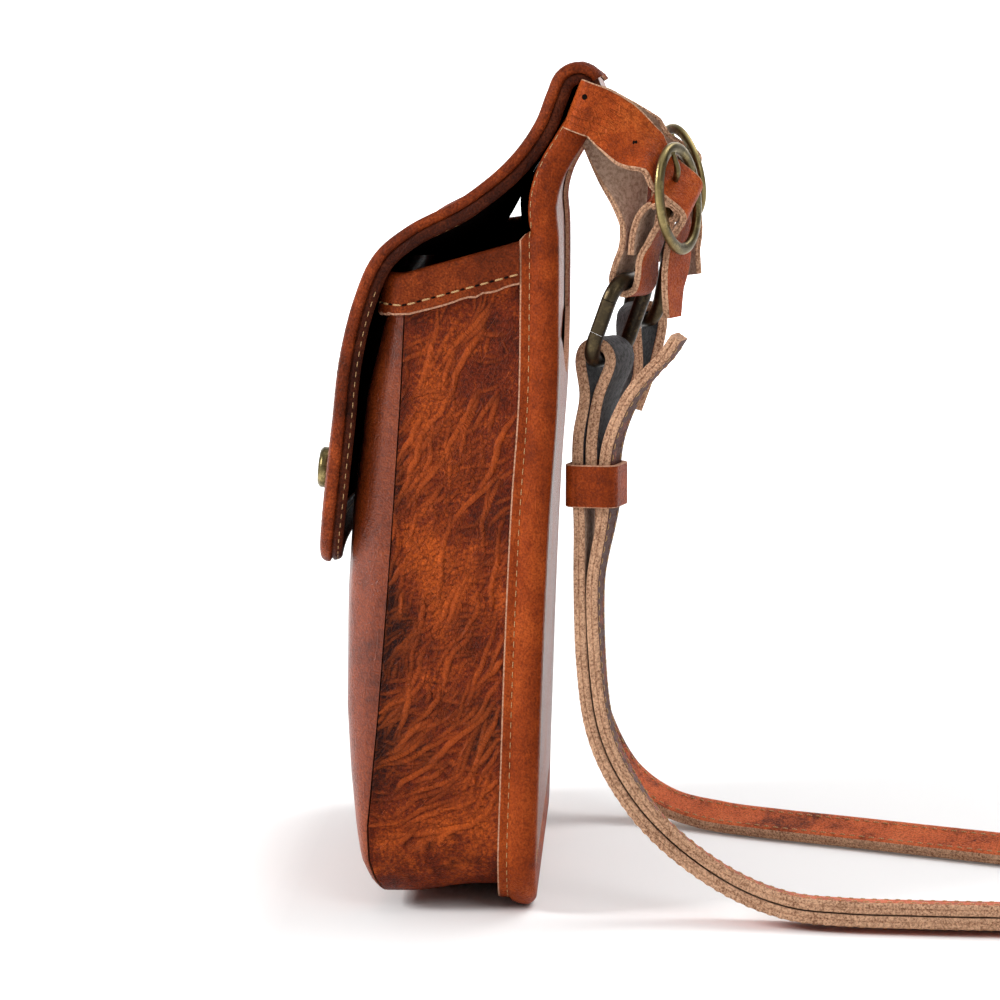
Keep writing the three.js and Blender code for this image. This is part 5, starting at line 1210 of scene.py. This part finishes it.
# %% Buckles of the strap tabs
BUCKLE_LONG, BUCKLE_WIDTH, BUCKLE_BAR = 15.8, 12.5, 1.4
circle = np.linspace(0, 2 * np.pi, 96, endpoint=False)
band = oval(1.7, 1.2, 16, 2.6)
ring_frames = planar(buckle_at(BUCKLE_LONG * np.cos(circle), 0 * circle, BUCKLE_WIDTH * np.sin(circle)), DEEP)
bar_v = np.linspace(-BUCKLE_WIDTH, BUCKLE_WIDTH, 40)
bar_frames = planar(buckle_at(0 * bar_v, -1.5 * (1 - smoothstep(np.abs(bar_v), 8.5, 12.0)), bar_v), DEEP, closed=False)
prong_at = spline([buckle_at(c, n) for c, n in ((4.4, -2.2), (6.9, 0.7), (10.5, 2.4), (16.8, 2.8))], 10)
prong_side = unit(np.cross(np.gradient(prong_at, axis=0), BUCKLE_WIDE))
taper = (1 - 0.35 * smoothstep(np.linspace(0, 1, len(prong_at)), 0.6, 1.0))[:, None, None]
prong_across = np.broadcast_to(BUCKLE_WIDE, prong_at.shape)
prong_rings = place_section(prong_at, prong_across, prong_side, oval(1.0, 1.0, 10) * taper)
for side, move in SIDES:
    carried(f"{side}_buckle_ring", move(place_section(*ring_frames, band)), [antique_brass], f"{side}_buckle",
            closed=True, values={"wear": rim_wear(len(circle), band, 0.5)})
    carried(f"{side}_buckle_bar", move(place_section(*bar_frames, oval(BUCKLE_BAR, BUCKLE_BAR, 12))), [antique_brass],
            f"{side}_buckle")
    carried(f"{side}_buckle_prong", move(prong_rings), [antique_brass], f"{side}_prong")

# %% Snap hooks and their gates
GATE_FOOT, GATE_HINGE, GATE_SLOPE, GATE_GAP = -4.1, 6.5, 0.225, 0.05
hook_length = rounded_length(HOOK_WIDE, HOOK_LONG, HOOK_CORNER)
low_end = HOOK_LONG - HOOK_CORNER
hook_rod = oval(HOOK_BAR, HOOK_BAR, 16, 2.3)


def hook_piece(start, stop, count, nose):
    """Part of the hook's ring between two distances; the end at the nose is cut on the slant."""
    distance = np.linspace(start, stop, count)
    at = hook_at(*rounded_rectangle(HOOK_WIDE, HOOK_LONG, HOOK_CORNER, distance).T)
    rings = place_section(*planar(at, HOOK_FACE, closed=False), hook_rod)
    slanted = (1 - smoothstep(np.abs(distance - nose), 0, 4))[:, None, None]
    return rings + HOOK_UP * (slanted * GATE_SLOPE * hook_rod[None, :, :1])


nose = hook_length + low_end + GATE_FOOT - GATE_GAP
hinge = low_end + GATE_HINGE
HOOK_STATIONS, GATE_STATIONS = 120, 24
hook_rings = hook_piece(hinge + GATE_GAP, nose, HOOK_STATIONS, nose)
gate_rings = hook_piece(low_end + GATE_FOOT, hinge, GATE_STATIONS, low_end + GATE_FOOT)
for side, move in SIDES:
    carried(f"{side}_hook_ring", move(hook_rings), [dark_bronze], f"{side}_hook",
            values={"wear": rim_wear(HOOK_STATIONS, hook_rod, 0.35)})
    carried(f"{side}_hook_gate", move(gate_rings), [dark_bronze], f"{side}_gate", body=f"{side}_gate",
            values={"wear": rim_wear(GATE_STATIONS, hook_rod, 0.35)})

# %% Strap buckle
FRAME_WIDE, FRAME_NEAR, FRAME_FAR = STRAP_WIDTH / 2 + 3.2, (229.0, 11.0 - STAND), (264.0, 8.0 - STAND)
frame_middle, frame_half = (FRAME_NEAR[0] + FRAME_FAR[0]) / 2, (FRAME_FAR[0] - FRAME_NEAR[0]) / 2
round_frame = np.linspace(0, rounded_length(FRAME_WIDE, frame_half, 3), 120, endpoint=False)
u, v = rounded_rectangle(FRAME_WIDE, frame_half, 3, round_frame).T
rail = np.interp(frame_middle + v, [FRAME_NEAR[0], BAR_Y, FRAME_FAR[0]], [FRAME_NEAR[1], BAR_Z, FRAME_FAR[1]])
frame_rings = place_section(*planar(np.stack([LAID + u, frame_middle + v, rail], -1), UP), oval(BAR, BAR, 14, 2.3))
carried("strap_buckle_frame", frame_rings, [antique_brass], "strap_buckle", closed=True)
bar_u = np.linspace(-FRAME_WIDE, FRAME_WIDE, 12)
bar_rings = place_section(*planar(np.stack([LAID + bar_u, 0 * bar_u + BAR_Y, 0 * bar_u + BAR_Z], -1), UP, closed=False),
                          oval(BAR, BAR, 14))
carried("strap_buckle_bar", bar_rings, [antique_brass], "strap_buckle")

# %% Lock stud
falling = profile_length >= fold_length
stud_length = np.interp(-120, -profile[falling, 1], profile_length[falling])
stud_at, _, stud_up = edge_frames(np.array([stud_length]), np.zeros(1), np.zeros(1), np.ones(1), 1)
stud_axis = -stud_up[0] * np.sign(stud_up[0, 1])
stud_side = np.array([1.0, 0, 0])
stud_outline = np.array([
    (0.02, -2.6), (4.0, -2.6), (4.2, -2.4), (4.2, -1.3), (2.4, -1.3), (2.4, 1.3), (5.6, 1.3), (6.4, 2.1), (6.5, 2.3),
    (6.5, 4.1), (6.4, 4.4), (5.7, 5.1), (5.4, 5.25), (3.0, 5.5), (0.02, 5.6)])
spin = (np.arange(64) + 0.5) / 64 * 2 * np.pi
stud_plane = np.outer(np.cos(spin), stud_side) + np.outer(np.sin(spin), np.cross(stud_axis, stud_side))
stud_rings = stud_at + stud_plane[None] * stud_outline[:, :1, None] + stud_axis * stud_outline[:, 1:, None]
carried("stud", stud_rings, [antique_brass], "lock_stud")

# %% Keeper
KEEPER_TURN, KEEPER_AT, KEEPER_HIGH = np.radians(14), np.array([81.6, 41.4, 124]), 12.5
keeper_wide = np.array([np.cos(KEEPER_TURN), -np.sin(KEEPER_TURN), 0])
keeper_deep = np.array([np.sin(KEEPER_TURN), np.cos(KEEPER_TURN), 0])
keeper_half = (STRAP_WIDTH / 2 + 0.9 + BAND / 2, 6.4 + BAND / 2, 3.6)
round_keeper = np.linspace(0, rounded_length(*keeper_half), 96, endpoint=False)
u, v = rounded_rectangle(*keeper_half, round_keeper).T
keeper_path = KEEPER_AT + u[:, None] * keeper_wide + v[:, None] * keeper_deep
carried("keeper_ring", place_section(*planar(keeper_path, UP), strap_section(KEEPER_HIGH, BAND)[:, ::-1]),
        [smooth_hide, flesh_side, cut_edge], "keeper", bands=STRAP_BANDS, closed=True)

# %% Flat sizes: length and width of every strip and sheet before it is bent
flat_sizes = {
    "back and flap panel": (panel_length, 2 * PANEL_HALF),
    "gusset": (travelled(gusset_middle[:, OUTER_COLUMNS // 2])[-1], travelled(gusset_middle[SIDE_ROWS // 2])[-1]),
    "front panel": (travelled(front_middle[len(front_z) // 2])[-1],
                    travelled(front_middle[:, len(column_share) // 2])[-1]),
    "mouth band": (travelled(band_at)[-1], travelled(band_fold[:FOLD_POINTS])[-1]),
    "back pocket": (2 * POCKET_HALF, POCKET_TOP - POCKET_FOOT),
    "flap binding": (travelled(flap_frames[0])[-1], travelled(roll[:ROLL_POINTS])[-1]),
    "back binding": (travelled(back_at)[-1], travelled(lower_wrap[:WRAP_POINTS])[-1]),
    "connector strap": (travelled(tab_frames[0])[-1], TAB_WIDTH),
    "short strap half": (travelled(short_frames[0])[-1], STRAP_WIDTH),
    "long strap half": (travelled(long_frames[0])[-1], STRAP_WIDTH),
    "keeper": (rounded_length(*keeper_half), KEEPER_HIGH)}
for name, (long, wide) in flat_sizes.items():
    print("flat size", name, round(float(long)), "by", round(float(wide)), "mm")

# %% [markdown]
# ## Stitching
# Every seam in sight has a row of waxed thread. One stitch is a short rod whose ends dip into the leather.
# All stitches of a row are made at once: the same small outline, placed at even steps along the seam.

# %% Stitches
def stitches(name, path, normal, pitch=3.0, length=2.2, radius=0.22, finish=thread, start=1.0):
    """Row of stitches along a path, lying on the face that the normals leave."""
    run = travelled(path)
    place = np.arange(pitch * start, run[-1] - pitch / 2, pitch)
    at, out, along = (np.stack([np.interp(place, run, v[:, k]) for k in range(3)], -1)
                      for v in (path, np.broadcast_to(normal, path.shape), unit(np.gradient(path, axis=0))))
    along = unit(along)
    out = unit(out - along * (out * along).sum(-1, keepdims=True))
    beside = np.cross(along, out)
    step = np.array([-1, -0.8, -0.4, 0, 0.4, 0.8, 1])
    thick = radius * np.array([0.35, 0.8, 1, 1, 1, 0.8, 0.35])
    lift = radius * (0.35 - 1.1 * np.abs(step) ** 3)
    stations, spokes = len(step), 6
    spin = (np.arange(spokes) + 0.5) / spokes * 2 * np.pi
    points = at[:, None, None] + along[:, None, None] * (step * length / 2)[None, :, None, None]
    points = points + beside[:, None, None] * (thick[:, None] * np.cos(spin))[None, :, :, None]
    points = points + out[:, None, None] * (lift[:, None] + thick[:, None] * np.sin(spin))[None, :, :, None]
    quads = np.vstack([tube_quads(stations, spokes), end_ladders(stations, spokes)])
    uv = np.stack(np.broadcast_arrays((step * length / 2)[:, None], radius * spin[None, :]), -1).reshape(-1, 2)
    everywhere = (quads[None] + stations * spokes * np.arange(len(place))[:, None, None]).reshape(-1, 4)
    mesh = write_mesh(name, points.reshape(-1, 3), everywhere, np.tile(uv, (len(place), 1)),
                      np.zeros(len(everywhere)))
    link_piece(name, mesh, [finish], None)
    print(name, len(place), "stitches")


above_mouth = above[:, 0]
seam_u, seam_v = 0.2 * (1 - above_mouth) + 1.2 * above_mouth, -5.6 * (1 - above_mouth) - 4.7 * above_mouth
stitches("back_wrap_stitches", back_at + back_across * seam_u + back_up * seam_v, back_across,
         length=1.9, radius=0.13)
flap_at, flap_across, flap_up = flap_frames
hanging = flap_at[:, 2] < 184
stitches("flap_edge_stitches", (flap_at + flap_across * 1.2 - flap_up * 2.5)[hanging],
         (flap_across - 0.35 * flap_up)[hanging], length=1.9, radius=0.13)
for face, side in (("outer", 1), ("inner", -1)):
    flap_line = flap_at - flap_across * 5.0 + flap_up * (2.5 * side)
    stitches(f"flap_stitches_{face}", flap_line, flap_up * side)
MOUTH_PITCH = 4.4
band_line = band_at + band_across * (HOLD + 1.5) - band_up * 7.6
stitches("mouth_stitches", band_line, band_across, MOUTH_PITCH, 2.7, 0.3, start=0.4)
# Needle holes as short dark dashes: painted shade.
stitches("mouth_needle_holes", band_line, band_across, MOUTH_PITCH, 1.5, 0.32, painted_hole_shade, start=0.9)


def strap_stitches(name, frames, bands, keep=slice(None)):
    """Two rows of stitches near the edges of a strap's grain face."""
    at, across, up, _ = (v[keep] for v in frames)
    side = 1 if bands[GRAIN] == 0 else -1
    for edge, sign in (("left", -1), ("right", 1)):
        path = at + across * (sign * (STRAP_WIDTH / 2 - 2.3)) + up * (side * STRAP / 2)
        stitches(f"{name}_{edge}", path, up * side, pitch=3.4, radius=0.24)


strap_stitches("long_strap_stitches", long_frames, grain_up, slice(0, long_loop.start))
strap_stitches("short_strap_stitches", short_frames, grain_down, slice(short_loop.stop, None))

# %% [markdown]
# ## Floor and backdrop
# The floor is a pale sheet under the bag; it belongs to the picture and not to the part.

# %% Floor and finish
def sheet(name, corners, finish):
    """Flat sheet that belongs to the picture only."""
    mesh = bpy.data.meshes.new(name)
    mesh.from_pydata(corners, [], [(0, 1, 2, 3)])
    mesh.materials.append(finish)
    piece = bpy.data.objects.new(name, mesh)
    bpy.context.scene.collection.objects.link(piece)


paper, tree, shader = open_material("paper", Roughness=0.9, Specular_IOR_Level=0.1, Emission_Color=(1, 1, 1, 1))
where = put(tree, "ShaderNodeTexCoord").outputs["Object"]
white = mix(tree, noise(tree, where, 3.0, 2.0), (0.91, 0.91, 0.91, 1), (0.94, 0.94, 0.94, 1))
tree.links.new(white, shader.inputs["Base Color"])
far_off = put(tree, "ShaderNodeVectorMath", {0: where}, operation="LENGTH").outputs["Value"]
depth_along = put(tree, "ShaderNodeSeparateXYZ", {0: where}).outputs["Y"]
# The floor glows more far from the bag and on its left: painted light that lifts the bag's shadow there.
glow = math_node(tree, "MAXIMUM", ramp(tree, far_off, 0.5, 1.6, 0.0, 0.9),
                 ramp(tree, depth_along, -0.11, -0.05, 0.5, 0.0))
tree.links.new(glow, shader.inputs["Emission Strength"])
sheet("floor", [(-2.6, -3, -0.0004), (2.4, -3, -0.0004), (2.4, 3, -0.0004), (-2.6, 3, -0.0004)], paper)
backdrop, tree, shader = open_material("backdrop", Roughness=1.0, Emission_Color=(1, 1, 1, 1))
soft = noise(tree, put(tree, "ShaderNodeTexCoord").outputs["Object"], 0.7, 1.0)
tree.links.new(ramp(tree, soft, 0.3, 0.7, 1.0, 1.05), shader.inputs["Emission Strength"])
sheet("backdrop", [(-2.6, -2, -0.1), (-2.6, 2, -0.1), (-2.6, 2, 2.2), (-2.6, -2, 2.2)], backdrop)
